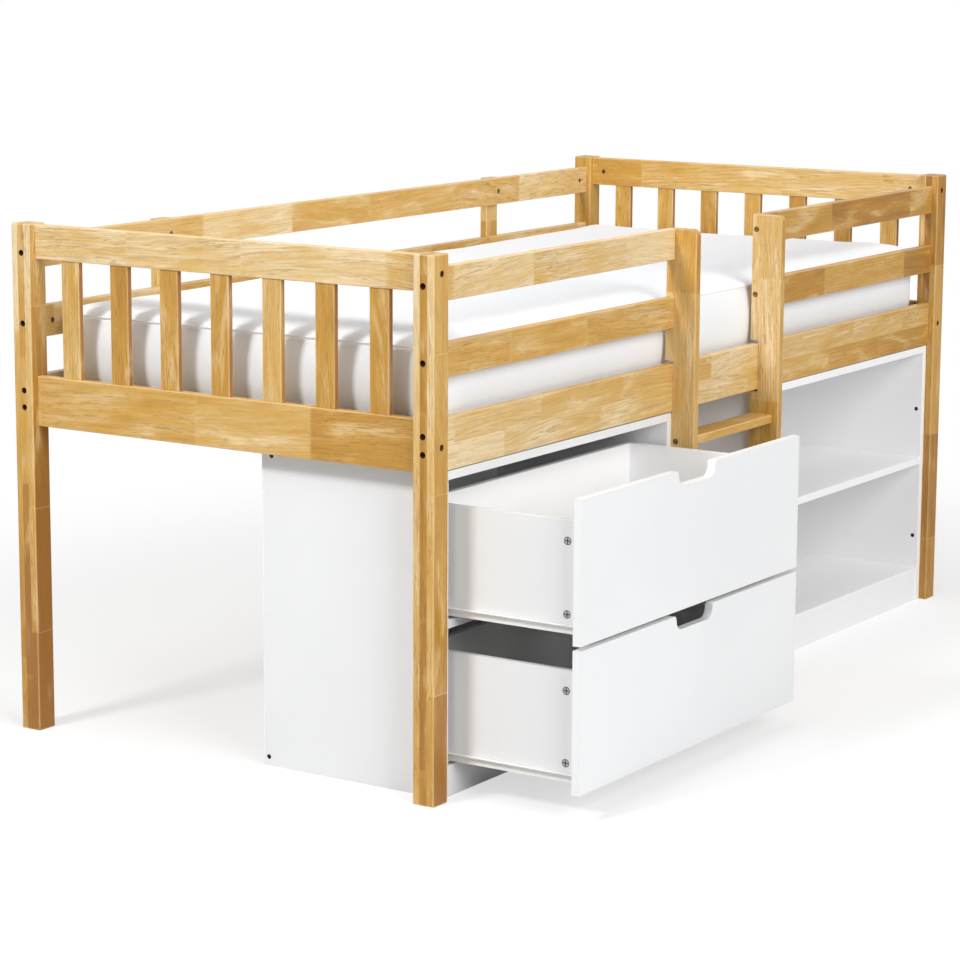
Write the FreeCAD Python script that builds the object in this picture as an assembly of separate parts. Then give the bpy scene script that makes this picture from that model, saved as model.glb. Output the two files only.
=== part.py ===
import FreeCAD, Part
import math
import os

os.makedirs("parts", exist_ok=True)

# Lengths are in millimetres. +X runs along the bed from its near end to its far end,
# -Y is the front, where the ladder and the drawers are, and +Z is up.
# The origin is on the floor, in the middle of the whole piece with both drawers pulled out.

# Bed frame
bed_length = 2070.0
bed_width = 965.0
post_height = 981.0
post_size = 45.0
post_edge_radius = 3.0
rail_thickness = 18.0
rail_inset = 15.0
board_edge_radius = 2.0

# Heights of the boards above the floor, and how tall they are
side_rail_bottom = 595.0
side_rail_height = 95.0
end_bottom_rail_bottom = 595.0
end_bottom_rail_height = 96.0
end_top_rail_bottom = 914.0
end_top_rail_height = 65.0
guard_top_rail_bottom = 895.0
guard_top_rail_height = 61.0
guard_mid_rail_bottom = 761.0
guard_mid_rail_height = 61.0

# Upright slats of the two end panels
end_slat_count = 7
end_slat_width = 42.0
end_slat_thickness = 12.0
end_slat_pitch_share = 0.1349
end_slat_tenon = 10.0
end_slat_edge_radius = 1.0
mortise_clearance = 0.2

# Boards that stiffen the back guard rails from behind
upright_width = 45.0
upright_thickness = 18.0
upright_bottom = 600.0
upright_spacing = 1200.0

# Slatted base
ledger_width = 20.0
ledger_height = 30.0
ledger_end_gap = 60.0
bed_slat_count = 14
bed_slat_width = 70.0
bed_slat_thickness = 16.0
bed_slat_top = 670.0
bed_slat_end_gap = 2.0
bed_slat_edge_radius = 1.5

# Mattress
mattress_end_gap = 5.0
mattress_height = 158.0
mattress_seat_gap = 0.3
mattress_corner_radius = 45.0
# Its outlines from the underside up, in shares of its height: the level, and how far it is drawn in
mattress_level_shares = (0.0, 0.035, 0.11, 0.2, 0.48, 0.76, 0.85, 0.915, 0.955, 0.985, 1.0)
mattress_inset_shares = (0.19, 0.089, 0.025, 0.003, 0.019, 0.003, 0.032, 0.1, 0.25, 0.95, 2.03)

# Ladder
ladder_width = 370.0
stile_thickness = 18.0
stile_depth = 67.0
stile_top_radius = 14.0
stile_edge_radius = 1.5
notch_gap_above = 7.0
notch_gap_below = 5.0
notch_clearance = 0.3
rung_count = 3
rung_pitch = 200.0
rung_top = 545.0
rung_thickness = 18.0
rung_depth = 53.0
rung_edge_radius = 3.0

# Bolts and barrel nuts that hold the rails to the posts
bolt_shank_radius = 3.0
bolt_bore_radius = 3.5
bolt_head_radius = 5.6
bolt_head_height = 5.0
bolt_socket_radius = 2.8
bolt_socket_depth = 3.0
counterbore_radius = 6.0
counterbore_depth = 11.0
bolt_past_nut = 9.0
bolt_end_clearance = 1.0
nut_radius = 5.0
nut_length = 14.0
nut_recess = 1.0
nut_setback = 30.0
nut_clearance = 0.2
side_bolt_spacing = 32.0
side_bolt_rise = 4.5

# Countersunk screws
screw_head_radius = 4.5
screw_head_height = 3.0
screw_shank_radius = 2.0
screw_length = 45.0
upright_screw_length = 32.0
screw_clearance = 0.2
screw_recess_radius = 1.6
screw_recess_depth = 1.5

# Chest of drawers and shelf unit
unit_depth = 400.0
unit_top_gap = 2.0
chest_post_gap = 10.0
unit_inset = 17.0
panel_thickness = 16.0
panel_edge_radius = 0.6
back_thickness = 3.0
chest_plinth_height = 58.0
chest_rail_depth = 80.0
shelf_bottom_bottom = 62.0
shelf_plinth_setback = 2.0
shelf_inset = 1.0
plinth_screw_height = 17.0
top_screw_setback = 19.0
wall_screw_setback = 13.0
wall_screw_height_shares = (0.255, 0.754)
wall_screw_length = 40.0
stile_screw_length = 30.0

# Drawers
front_thickness = 16.0
front_top_gap = 2.0
front_gap = 8.0
front_side_gap = 1.0
lower_front_bottom = 51.0
drawer_open = 267.0
closing_gap = 1.0
grip_width = 136.0
grip_bottom_width = 128.0
grip_depth = 28.0
grip_radius = 18.0
grip_mouth_radius = 7.0
box_length = 350.0
box_rise = 29.0
box_top_drop = 44.0
box_board = 12.0
bottom_thickness = 4.0
bottom_rise = 5.0
groove_depth = 5.0
groove_clearance = 0.2
cam_radius = 7.5
cam_depth = 9.0
cam_setback = 29.0
cam_bottom_setback = 18.0
cam_top_setback = 37.0
cam_clearance = 0.1
cam_slot_width = 2.0
cam_slot_length = 10.5
cam_slot_depth = 2.0
cam_pin_radius = 2.5
cam_pin_bite = 10.0
cam_pin_clearance = 0.2

# Roller runners
runner_space = 12.5
runner_sheet = 1.2
runner_flange = 9.0
runner_foot = 10.0
runner_web_drop = 16.0
runner_front_gap = 2.0
runner_roller_zone = 30.0
fixed_roller_radius = 8.0
fixed_roller_setback = 14.0
moving_roller_radius = 7.5
moving_roller_setback = 14.0
roller_width = 7.0
roller_gap = 0.3
roller_play = 0.5
roller_side_gap = 2.0
channel_top_drop = 1.8
axle_radius = 2.0
axle_clearance = 0.06

# Edges this nearly parallel to an axis count as running along it
angle_share = 0.001

# Derived places
back_rail_reach = bed_width - rail_inset + upright_thickness
front_reach = drawer_open + closing_gap + front_thickness - unit_inset
front_y = (front_reach - back_rail_reach) / 2
back_y = front_y + bed_width
inner_bed_width = bed_width - 2 * post_size
end_slat_pitch = end_slat_pitch_share * inner_bed_width
unit_width = (bed_length - 2 * post_size - ladder_width - chest_post_gap) / 2
ladder_start = post_size + chest_post_gap + unit_width
left_x = -bed_length / 2
right_x = left_x + bed_length
left_inner_x = left_x + post_size
right_inner_x = right_x - post_size
front_inner_y = front_y + post_size
back_inner_y = back_y - post_size
rail_middle = rail_inset + rail_thickness / 2
rail_inner = rail_inset + rail_thickness
stile_back_y = front_y + rail_inner
stile_front_y = stile_back_y - stile_depth
ladder_left_x = left_x + ladder_start
ladder_right_x = ladder_left_x + ladder_width
rung_left_x = ladder_left_x + stile_thickness
rung_right_x = ladder_right_x - stile_thickness
unit_front_y = front_y + unit_inset
unit_back_y = unit_front_y + unit_depth
panel_back_y = unit_back_y - back_thickness
chest_x = ladder_left_x - unit_width
shelf_x = ladder_right_x
unit_height = side_rail_bottom - unit_top_gap
top_underside = unit_height - panel_thickness
front_height = (top_underside - front_top_gap - front_gap - lower_front_bottom) / 2
chest_rail_bottom = lower_front_bottom + front_height
box_height = front_height - box_rise - box_top_drop
cam_heights = (cam_bottom_setback, box_height - cam_top_setback)
inner_width = unit_width - 2 * panel_thickness
chest_middle_x = chest_x + unit_width / 2
front_back_y = unit_front_y - closing_gap - drawer_open
upper_front_bottom = lower_front_bottom + front_height + front_gap
ledger_top = bed_slat_top - bed_slat_thickness
guard_top_middle = guard_top_rail_bottom + guard_top_rail_height / 2
guard_mid_middle = guard_mid_rail_bottom + guard_mid_rail_height / 2
guard_top = guard_top_rail_bottom + guard_top_rail_height
side_rail_top = side_rail_bottom + side_rail_height
side_bolt_middle = side_rail_bottom + side_rail_height / 2 + side_bolt_rise

X = FreeCAD.Vector(1, 0, 0)
Y = FreeCAD.Vector(0, 1, 0)
Z = FreeCAD.Vector(0, 0, 1)

solids = {}
cuts = {}
groups = {}


def point(x, y, z):
    return FreeCAD.Vector(x, y, z)


def block(x0, x1, y0, y1, z0, z1):
    low = point(min(x0, x1), min(y0, y1), min(z0, z1))
    return Part.makeBox(abs(x1 - x0), abs(y1 - y0), abs(z1 - z0), low)


def rod(start, direction, radius, length):
    return Part.makeCylinder(radius, length, start, direction)


def edges_along(shape, axis):
    found = []
    for edge in shape.Edges:
        line = edge.Vertexes[-1].Point - edge.Vertexes[0].Point
        if line.Length > 0 and line.normalize().cross(axis).Length < angle_share:
            found.append(edge)
    return found


def board(x0, x1, y0, y1, z0, z1, axis, radius):
    plain = block(x0, x1, y0, y1, z0, z1)
    return plain.makeFillet(radius, edges_along(plain, axis))


def add(name, shape):
    solids[name] = shape
    cuts.setdefault(name, [])


def group(name, shape):
    groups.setdefault(name, []).append(shape)


def hex_prism(start, direction, radius, length):
    side_a = Z if abs(direction.z) < 1 else X
    side_b = direction.cross(side_a)
    corners = []
    for step in range(6):
        angle = math.radians(60 * step)
        corners.append(start + side_a * (radius * math.cos(angle)) + side_b * (radius * math.sin(angle)))
    corners.append(corners[0])
    face = Part.Face(Part.makePolygon(corners))
    return face.extrude(direction * length)


def bolt_rail_to_post(post, rail, start, direction, inward):
    """Bolt from a post's outer face into a rail's end, with its barrel nut."""
    head_start = start + direction * (counterbore_depth - bolt_head_height)
    head_end = start + direction * counterbore_depth
    face = start + direction * post_size
    reach = nut_setback + bolt_past_nut
    cuts[post].append(rod(start, direction, counterbore_radius, counterbore_depth))
    cuts[post].append(rod(start, direction, bolt_bore_radius, post_size))
    cuts[rail].append(rod(face, direction, bolt_bore_radius, reach + bolt_end_clearance))
    head = rod(head_start, direction, bolt_head_radius, bolt_head_height)
    shank = rod(head_end, direction, bolt_shank_radius, post_size - counterbore_depth + reach)
    bolt = head.fuse(shank).cut(hex_prism(head_start, direction, bolt_socket_radius, bolt_socket_depth))
    group("bed_bolts", bolt)
    centre = face + direction * nut_setback
    mouth = centre + inward * (rail_thickness / 2)
    hole_depth = nut_recess + nut_length + nut_clearance
    cuts[rail].append(rod(mouth, inward * -1, nut_radius + nut_clearance, hole_depth))
    nut = rod(mouth - inward * nut_recess, inward * -1, nut_radius, nut_length)
    through_start = centre - direction * nut_setback
    through = rod(through_start, direction, bolt_shank_radius + nut_clearance, nut_setback * 2)
    group("barrel_nuts", nut.cut(through))


def screw_through(names, start, direction, length, family):
    """Countersunk screw, with its hole in every board it passes."""
    wide = screw_head_radius + screw_clearance
    narrow = screw_shank_radius + screw_clearance
    head_hole = Part.makeCone(wide, narrow, screw_head_height, start, direction)
    hole = head_hole.fuse(rod(start, direction, narrow, length + screw_clearance))
    for name in names:
        cuts[name].append(hole)
    head = Part.makeCone(screw_head_radius, screw_shank_radius, screw_head_height, start, direction)
    shank_start = start + direction * screw_head_height
    shank = rod(shank_start, direction, screw_shank_radius, length - screw_head_height)
    recess = hex_prism(start, direction, screw_recess_radius, screw_recess_depth)
    group(family, head.fuse(shank).cut(recess))


# Posts
post_places = {
    "post_front_left": (left_x, front_y),
    "post_front_right": (right_inner_x, front_y),
    "post_back_left": (left_x, back_inner_y),
    "post_back_right": (right_inner_x, back_inner_y),
}
for post_name, (post_x, post_y) in post_places.items():
    post = block(post_x, post_x + post_size, post_y, post_y + post_size, 0, post_height)
    soft_edges = edges_along(post, Z)
    for edge in post.Edges:
        if min(vertex.Point.z for vertex in edge.Vertexes) >= post_height:
            soft_edges.append(edge)
    add(post_name, post.makeFillet(post_edge_radius, soft_edges))

# Long rails
rail_y = {
    "front": (front_y + rail_inset, front_y + rail_inner),
    "back": (back_y - rail_inner, back_y - rail_inset),
}
side_level = (side_rail_bottom, side_rail_height)
top_level = (guard_top_rail_bottom, guard_top_rail_height)
mid_level = (guard_mid_rail_bottom, guard_mid_rail_height)
long_rails = {
    "side_rail_front": ("front", left_inner_x, right_inner_x, side_level),
    "side_rail_back": ("back", left_inner_x, right_inner_x, side_level),
    "guard_left_top_rail": ("front", left_inner_x, ladder_left_x, top_level),
    "guard_left_mid_rail": ("front", left_inner_x, ladder_left_x, mid_level),
    "guard_right_top_rail": ("front", ladder_right_x, right_inner_x, top_level),
    "guard_right_mid_rail": ("front", ladder_right_x, right_inner_x, mid_level),
    "guard_back_top_rail": ("back", left_inner_x, right_inner_x, top_level),
    "guard_back_mid_rail": ("back", left_inner_x, right_inner_x, mid_level),
}
for rail_name, (side, x0, x1, level) in long_rails.items():
    y0, y1 = rail_y[side]
    bottom, height = level
    add(rail_name, board(x0, x1, y0, y1, bottom, bottom + height, X, board_edge_radius))

# End rails
rail_x = {
    "near": (left_x + rail_inset, left_x + rail_inner),
    "far": (right_x - rail_inner, right_x - rail_inset),
}
for end, (x0, x1) in rail_x.items():
    for level, bottom, height in (
            ("bottom", end_bottom_rail_bottom, end_bottom_rail_height),
            ("top", end_top_rail_bottom, end_top_rail_height)):
        rail = board(x0, x1, front_inner_y, back_inner_y, bottom, bottom + height, Y, board_edge_radius)
        add(f"{end}_end_{level}_rail", rail)

# Slats of the end panels, tenoned into the end rails
slat_low = end_bottom_rail_bottom + end_bottom_rail_height - end_slat_tenon
slat_high = end_top_rail_bottom + end_slat_tenon
middle_y = (front_y + back_y) / 2
for end, (x0, x1) in rail_x.items():
    slat_x0 = (x0 + x1 - end_slat_thickness) / 2
    slat_x1 = slat_x0 + end_slat_thickness
    for index in range(end_slat_count):
        slat_middle = middle_y + (index - (end_slat_count - 1) / 2) * end_slat_pitch
        slat_y0 = slat_middle - end_slat_width / 2
        slat_y1 = slat_middle + end_slat_width / 2
        slat = board(slat_x0, slat_x1, slat_y0, slat_y1, slat_low, slat_high, Z, end_slat_edge_radius)
        group("end_slats", slat)
        mortise = block(
            slat_x0 - mortise_clearance, slat_x1 + mortise_clearance,
            slat_y0 - mortise_clearance, slat_y1 + mortise_clearance,
            slat_low - mortise_clearance, slat_high + mortise_clearance)
        cuts[f"{end}_end_bottom_rail"].append(mortise)
        cuts[f"{end}_end_top_rail"].append(mortise)

# Uprights behind the back guard rails
upright_y = back_y - rail_inset
for upright_middle in (-upright_spacing / 2, upright_spacing / 2):
    upright = board(
        upright_middle - upright_width / 2, upright_middle + upright_width / 2,
        upright_y, upright_y + upright_thickness, upright_bottom, guard_top, Z, board_edge_radius)
    group("guard_back_uprights", upright)

# Slatted base
ledger_x0 = left_inner_x + ledger_end_gap
ledger_x1 = right_inner_x - ledger_end_gap
ledger_bottom = ledger_top - ledger_height
front_ledger_y = front_y + rail_inner
back_ledger_y = back_y - rail_inner
for ledger_y0, ledger_y1 in ((front_ledger_y, front_ledger_y + ledger_width),
                             (back_ledger_y - ledger_width, back_ledger_y)):
    ledger = board(
        ledger_x0, ledger_x1, ledger_y0, ledger_y1, ledger_bottom, ledger_top, X, bed_slat_edge_radius)
    group("slat_ledgers", ledger)
slat_step = (ledger_x1 - ledger_x0 - bed_slat_width) / (bed_slat_count - 1)
for index in range(bed_slat_count):
    slat_x = ledger_x0 + index * slat_step
    slat = board(
        slat_x, slat_x + bed_slat_width,
        front_ledger_y + bed_slat_end_gap, back_ledger_y - bed_slat_end_gap,
        ledger_top, bed_slat_top, Y, bed_slat_edge_radius)
    group("bed_slats", slat)

# Mattress, a loft through its outlines
mattress_bottom = bed_slat_top + mattress_seat_gap
mattress_x = bed_length / 2 - rail_inner - mattress_end_gap
mattress_y = bed_width / 2 - rail_inner - mattress_end_gap


def rounded_outline(half_x, half_y, radius, height):
    arc_share = math.sqrt(0.5)
    near = 1 - arc_share
    edges = []
    corners = ((1, -1), (1, 1), (-1, 1), (-1, -1))
    ends = []
    for sx, sy in corners:
        along_x = point(sx * (half_x - radius), middle_y + sy * half_y, height)
        along_y = point(sx * half_x, middle_y + sy * (half_y - radius), height)
        middle = point(sx * (half_x - radius * near), middle_y + sy * (half_y - radius * near), height)
        first, last = (along_x, along_y) if sx * sy < 0 else (along_y, along_x)
        edges.append(Part.Arc(first, middle, last).toShape())
        ends.append((first, last))
    joined = []
    for index in range(4):
        joined.append(edges[index])
        joined.append(Part.makeLine(ends[index][1], ends[(index + 1) % 4][0]))
    return Part.Wire(joined)


outlines = []
for level_share, inset_share in zip(mattress_level_shares, mattress_inset_shares):
    level = mattress_bottom + mattress_height * level_share
    inset = mattress_height * inset_share
    outlines.append(rounded_outline(mattress_x - inset, mattress_y - inset, mattress_corner_radius, level))
add("mattress", Part.makeLoft(outlines, True, True))

# Ladder stiles, notched round the side rail
notch_low = side_rail_bottom - notch_gap_below
notch_high = side_rail_top + notch_gap_above
notch_y = front_y + rail_inset - notch_clearance
for stile_name, stile_x in (("ladder_left_stile", ladder_left_x), ("ladder_right_stile", rung_right_x)):
    stile_end_x = stile_x + stile_thickness
    stile = block(stile_x, stile_end_x, stile_front_y, stile_back_y, 0, guard_top)
    top_front = []
    for edge in edges_along(stile, X):
        spot = edge.Vertexes[0].Point
        if spot.z > side_rail_top and spot.y < front_y:
            top_front.append(edge)
    stile = stile.makeFillet(stile_top_radius, top_front)
    stile = stile.makeFillet(stile_edge_radius, edges_along(stile, Z))
    notch = block(stile_x, stile_end_x, notch_y, stile_back_y, notch_low, notch_high)
    add(stile_name, stile.cut(notch))
for index in range(rung_count):
    top = rung_top - index * rung_pitch
    rung = board(
        rung_left_x, rung_right_x, stile_back_y - rung_depth, stile_back_y,
        top - rung_thickness, top, X, rung_edge_radius)
    add(f"ladder_rung_{index}", rung)

# Carcase boards of the chest of drawers and the shelf unit
for unit, unit_x in (("chest", chest_x), ("shelf", shelf_x)):
    for side, side_x in (("left", unit_x), ("right", unit_x + unit_width - panel_thickness)):
        add(f"{unit}_{side}_side", board(
            side_x, side_x + panel_thickness, unit_front_y, panel_back_y,
            0, unit_height, Z, panel_edge_radius))
    inside_x = unit_x + panel_thickness
    inside_end = inside_x + inner_width
    add(f"{unit}_top", board(
        inside_x, inside_end, unit_front_y, panel_back_y, top_underside, unit_height, X, panel_edge_radius))
    add(f"{unit}_back", block(unit_x, unit_x + unit_width, panel_back_y, unit_back_y, 0, unit_height))

chest_inside = chest_x + panel_thickness
chest_inside_end = chest_inside + inner_width
add("chest_divider_rail", board(
    chest_inside, chest_inside_end, unit_front_y, unit_front_y + chest_rail_depth,
    chest_rail_bottom, chest_rail_bottom + panel_thickness, X, panel_edge_radius))
for y0 in (unit_front_y, panel_back_y - panel_thickness):
    group("chest_plinth_rails", board(
        chest_inside, chest_inside_end, y0, y0 + panel_thickness,
        0, chest_plinth_height, X, panel_edge_radius))

shelf_inside = shelf_x + panel_thickness
shelf_inside_end = shelf_inside + inner_width
shelf_middle_bottom = (shelf_bottom_bottom + panel_thickness + top_underside - panel_thickness) / 2
for shelf_name, bottom in (("shelf_bottom", shelf_bottom_bottom), ("shelf_middle", shelf_middle_bottom)):
    add(shelf_name, board(
        shelf_inside, shelf_inside_end, unit_front_y + shelf_inset, panel_back_y,
        bottom, bottom + panel_thickness, X, panel_edge_radius))
plinth_y = unit_front_y + shelf_inset + shelf_plinth_setback
add("shelf_plinth", board(
    shelf_inside, shelf_inside_end, plinth_y, plinth_y + panel_thickness,
    0, shelf_bottom_bottom, X, panel_edge_radius))

# Screws of the two units
half_panel = panel_thickness / 2
front_screw_y = unit_front_y + top_screw_setback
back_screw_y = panel_back_y - top_screw_setback
unit_screws = {
    "chest": (
        ("chest_top", front_screw_y, top_underside + half_panel),
        ("chest_top", back_screw_y, top_underside + half_panel),
        ("chest_divider_rail", front_screw_y, chest_rail_bottom + half_panel),
        ("chest_plinth_rails", unit_front_y + half_panel, plinth_screw_height),
        ("chest_plinth_rails", panel_back_y - half_panel, plinth_screw_height),
    ),
    "shelf": (
        ("shelf_top", front_screw_y, top_underside + half_panel),
        ("shelf_top", back_screw_y, top_underside + half_panel),
        ("shelf_middle", front_screw_y, shelf_middle_bottom + half_panel),
        ("shelf_middle", back_screw_y, shelf_middle_bottom + half_panel),
        ("shelf_bottom", front_screw_y, shelf_bottom_bottom + half_panel),
        ("shelf_bottom", back_screw_y, shelf_bottom_bottom + half_panel),
    ),
}
cuts.setdefault("chest_plinth_rails", [])
for unit, unit_x in (("chest", chest_x), ("shelf", shelf_x)):
    for held, screw_y, screw_z in unit_screws[unit]:
        left_start = point(unit_x, screw_y, screw_z)
        right_start = point(unit_x + unit_width, screw_y, screw_z)
        screw_through((f"{unit}_left_side", held), left_start, X, screw_length, "unit_screws")
        screw_through((f"{unit}_right_side", held), right_start, X * -1, screw_length, "unit_screws")
wall_screw_y = unit_front_y + wall_screw_setback
stile_screw_y = (unit_front_y + stile_back_y) / 2
for share in wall_screw_height_shares:
    height = share * unit_height
    start = point(shelf_inside_end, wall_screw_y, height)
    screw_through(("shelf_right_side", "post_front_right"), start, X, wall_screw_length, "unit_screws")
    start = point(chest_inside_end, stile_screw_y, height)
    screw_through(("chest_right_side", "ladder_left_stile"), start, X, stile_screw_length, "unit_screws")

# Screws of the ladder and of the back uprights
rail_middle_y = front_y + rail_middle
for level, middle in (("top", guard_top_middle), ("mid", guard_mid_middle)):
    right_start = point(rung_right_x, rail_middle_y, middle)
    left_start = point(rung_left_x, rail_middle_y, middle)
    right_pair = ("ladder_right_stile", f"guard_right_{level}_rail")
    left_pair = ("ladder_left_stile", f"guard_left_{level}_rail")
    screw_through(right_pair, right_start, X, screw_length, "frame_screws")
    screw_through(left_pair, left_start, X * -1, screw_length, "frame_screws")
rung_middle_y = stile_back_y - rung_depth / 2
for index in range(rung_count):
    height = rung_top - index * rung_pitch - rung_thickness / 2
    rung_name = f"ladder_rung_{index}"
    left_start = point(ladder_left_x, rung_middle_y, height)
    right_start = point(ladder_right_x, rung_middle_y, height)
    screw_through(("ladder_left_stile", rung_name), left_start, X, screw_length, "frame_screws")
    screw_through(("ladder_right_stile", rung_name), right_start, X * -1, screw_length, "frame_screws")
cuts.setdefault("guard_back_uprights", [])
for upright_middle in (-upright_spacing / 2, upright_spacing / 2):
    for rail_name, middle in (
            ("guard_back_top_rail", guard_top_middle),
            ("guard_back_mid_rail", guard_mid_middle),
            ("side_rail_back", side_bolt_middle)):
        start = point(upright_middle, back_y - rail_inner, middle)
        screw_through((rail_name, "guard_back_uprights"), start, Y, upright_screw_length, "frame_screws")

# Bolts of the bed frame
long_bolts = (
    ("top", guard_top_middle),
    ("mid", guard_mid_middle),
    ("side", side_bolt_middle + side_bolt_spacing / 2),
    ("side", side_bolt_middle - side_bolt_spacing / 2),
)
end_bolts = (
    ("top", end_top_rail_bottom + end_top_rail_height / 2),
    ("bottom", end_bottom_rail_bottom + end_bottom_rail_height / 2),
)
for face_side in ("front", "back"):
    bolt_y = front_y + rail_middle if face_side == "front" else back_y - rail_middle
    inward = Y if face_side == "front" else Y * -1
    for hand, start_x, direction in (("left", left_x, X), ("right", right_x, X * -1)):
        for level, height in long_bolts:
            if level == "side":
                rail_name = f"side_rail_{face_side}"
            elif face_side == "front":
                rail_name = f"guard_{hand}_{level}_rail"
            else:
                rail_name = f"guard_back_{level}_rail"
            bolt_rail_to_post(
                f"post_{face_side}_{hand}", rail_name, point(start_x, bolt_y, height), direction, inward)
for end, hand, bolt_x, inward in (
        ("near", "left", left_x + rail_middle, X), ("far", "right", right_x - rail_middle, X * -1)):
    for face_side, start_y, direction in (("front", front_y, Y), ("back", back_y, Y * -1)):
        for level, height in end_bolts:
            bolt_rail_to_post(
                f"post_{face_side}_{hand}", f"{end}_end_{level}_rail",
                point(bolt_x, start_y, height), direction, inward)


def grip_cutter(middle_x, top, y0, y1):
    """Finger grip in a drawer front's top edge, wider at the top, with rounded corners."""
    wide = grip_width / 2
    narrow = grip_bottom_width / 2
    corners = [
        point(middle_x - wide, y0, top + grip_mouth_radius),
        point(middle_x - wide, y0, top),
        point(middle_x - narrow, y0, top - grip_depth),
        point(middle_x + narrow, y0, top - grip_depth),
        point(middle_x + wide, y0, top),
        point(middle_x + wide, y0, top + grip_mouth_radius),
    ]
    corners.append(corners[0])
    cutter = Part.Face(Part.makePolygon(corners)).extrude(point(0, y1 - y0, 0))
    bottom_edges = []
    for edge in edges_along(cutter, Y):
        if edge.Vertexes[0].Point.z < top:
            bottom_edges.append(edge)
    return cutter.makeFillet(grip_radius, bottom_edges)


def round_grip_mouth(front, top):
    edges = []
    for edge in edges_along(front, Y):
        spot = edge.Vertexes[0].Point
        if spot.z > top - grip_depth / 2 and abs(spot.x - chest_middle_x) < grip_width:
            edges.append(edge)
    return front.makeFillet(grip_mouth_radius, edges)


def make_drawer(name, front_bottom):
    """One drawer, with the halves of its runners that move and the halves that stay."""
    top = front_bottom + front_height
    face_y = front_back_y - front_thickness
    front = block(
        chest_x + front_side_gap, chest_x + unit_width - front_side_gap,
        face_y, front_back_y, front_bottom, top)
    front = front.cut(grip_cutter(chest_middle_x, top, face_y, front_back_y))
    front = round_grip_mouth(front, top)
    add(f"{name}_drawer_front", front)
    box_bottom = front_bottom + box_rise
    box_back_y = front_back_y + box_length
    box_left = chest_inside + runner_space
    box_right = chest_inside_end - runner_space
    box_top = box_bottom + box_height
    for side, x0 in (("left", box_left), ("right", box_right - box_board)):
        add(f"{name}_drawer_{side}_side", board(
            x0, x0 + box_board, front_back_y, box_back_y, box_bottom, box_top, Y, panel_edge_radius))
    inside_x0 = box_left + box_board
    inside_x1 = box_right - box_board
    bottom_z = box_bottom + bottom_rise
    bottom_top = bottom_z + bottom_thickness
    add(f"{name}_drawer_back", board(
        inside_x0, inside_x1, box_back_y - box_board, box_back_y,
        bottom_top + groove_clearance, box_top, X, panel_edge_radius))
    add(f"{name}_drawer_bottom", block(
        inside_x0 - groove_depth + groove_clearance, inside_x1 + groove_depth - groove_clearance,
        front_back_y + groove_clearance, box_back_y, bottom_z, bottom_top))
    groove = block(
        inside_x0 - groove_depth, inside_x1 + groove_depth,
        front_back_y, box_back_y, bottom_z - groove_clearance, bottom_top + groove_clearance)
    cuts[f"{name}_drawer_left_side"].append(groove)
    cuts[f"{name}_drawer_right_side"].append(groove)

    cam_y = front_back_y + cam_setback
    for side, face_x, direction in (("left", box_left, X), ("right", box_right, X * -1)):
        for height in cam_heights:
            start = point(face_x, cam_y, box_bottom + height)
            pin_start = start + direction * (cam_depth / 2) - Y * (cam_setback + cam_pin_bite)
            pin_length = cam_setback + cam_pin_bite
            pin_hole = rod(pin_start, Y, cam_pin_radius + cam_pin_clearance, pin_length + cam_pin_clearance)
            cam = rod(start, direction, cam_radius, cam_depth).cut(pin_hole)
            for wide, tall in ((cam_slot_length, cam_slot_width), (cam_slot_width, cam_slot_length)):
                slot = block(
                    face_x - cam_slot_depth, face_x + cam_slot_depth, cam_y - wide / 2, cam_y + wide / 2,
                    start.z - tall / 2, start.z + tall / 2)
                cam = cam.cut(slot)
            group(f"{name}_drawer_cams", cam)
            group(f"{name}_drawer_cams", rod(pin_start, Y, cam_pin_radius, pin_length))
            cuts[f"{name}_drawer_{side}_side"].append(
                rod(start, direction, cam_radius + cam_clearance, cam_depth + cam_clearance))
            cuts[f"{name}_drawer_{side}_side"].append(pin_hole)
            cuts[f"{name}_drawer_front"].append(pin_hole)

    fixed_axle_y = unit_front_y + runner_front_gap + fixed_roller_setback
    fixed_axle_z = box_bottom - runner_sheet - roller_gap - fixed_roller_radius
    channel_top = box_bottom - channel_top_drop
    moving_axle_z = channel_top - runner_sheet - roller_play - moving_roller_radius
    channel_bottom = moving_axle_z - moving_roller_radius - roller_play - runner_sheet
    moving_axle_y = box_back_y - moving_roller_setback
    channel_y0 = unit_front_y + runner_front_gap
    channel_y1 = channel_y0 + box_length
    axle_length = roller_side_gap + roller_width + runner_sheet
    bore_radius = axle_radius + axle_clearance
    runner_y0 = front_back_y + groove_clearance
    for wall_x, box_x, out in ((chest_inside, box_left, 1), (chest_inside_end, box_right, -1)):
        inward = X * out
        outward = X * -out
        web_end = wall_x + out * runner_sheet
        flange_y = channel_y0 + runner_roller_zone
        flange_end = wall_x + out * runner_flange
        low_flange_top = channel_bottom + runner_sheet
        high_flange_bottom = channel_top - runner_sheet
        web = block(wall_x, web_end, channel_y0, channel_y1, channel_bottom, channel_top)
        low_flange = block(wall_x, flange_end, flange_y, channel_y1, channel_bottom, low_flange_top)
        high_flange = block(wall_x, flange_end, flange_y, channel_y1, high_flange_bottom, channel_top)
        axle_start = point(wall_x, fixed_axle_y, fixed_axle_z)
        axle = rod(axle_start, inward, axle_radius, axle_length)
        group("chest_runners", web.fuse([low_flange, high_flange, axle]).removeSplitter())
        roller = rod(axle_start + inward * roller_side_gap, inward, fixed_roller_radius, roller_width)
        bore = rod(axle_start, inward, bore_radius, runner_space)
        group(f"{name}_fixed_rollers", roller.cut(bore))

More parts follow.
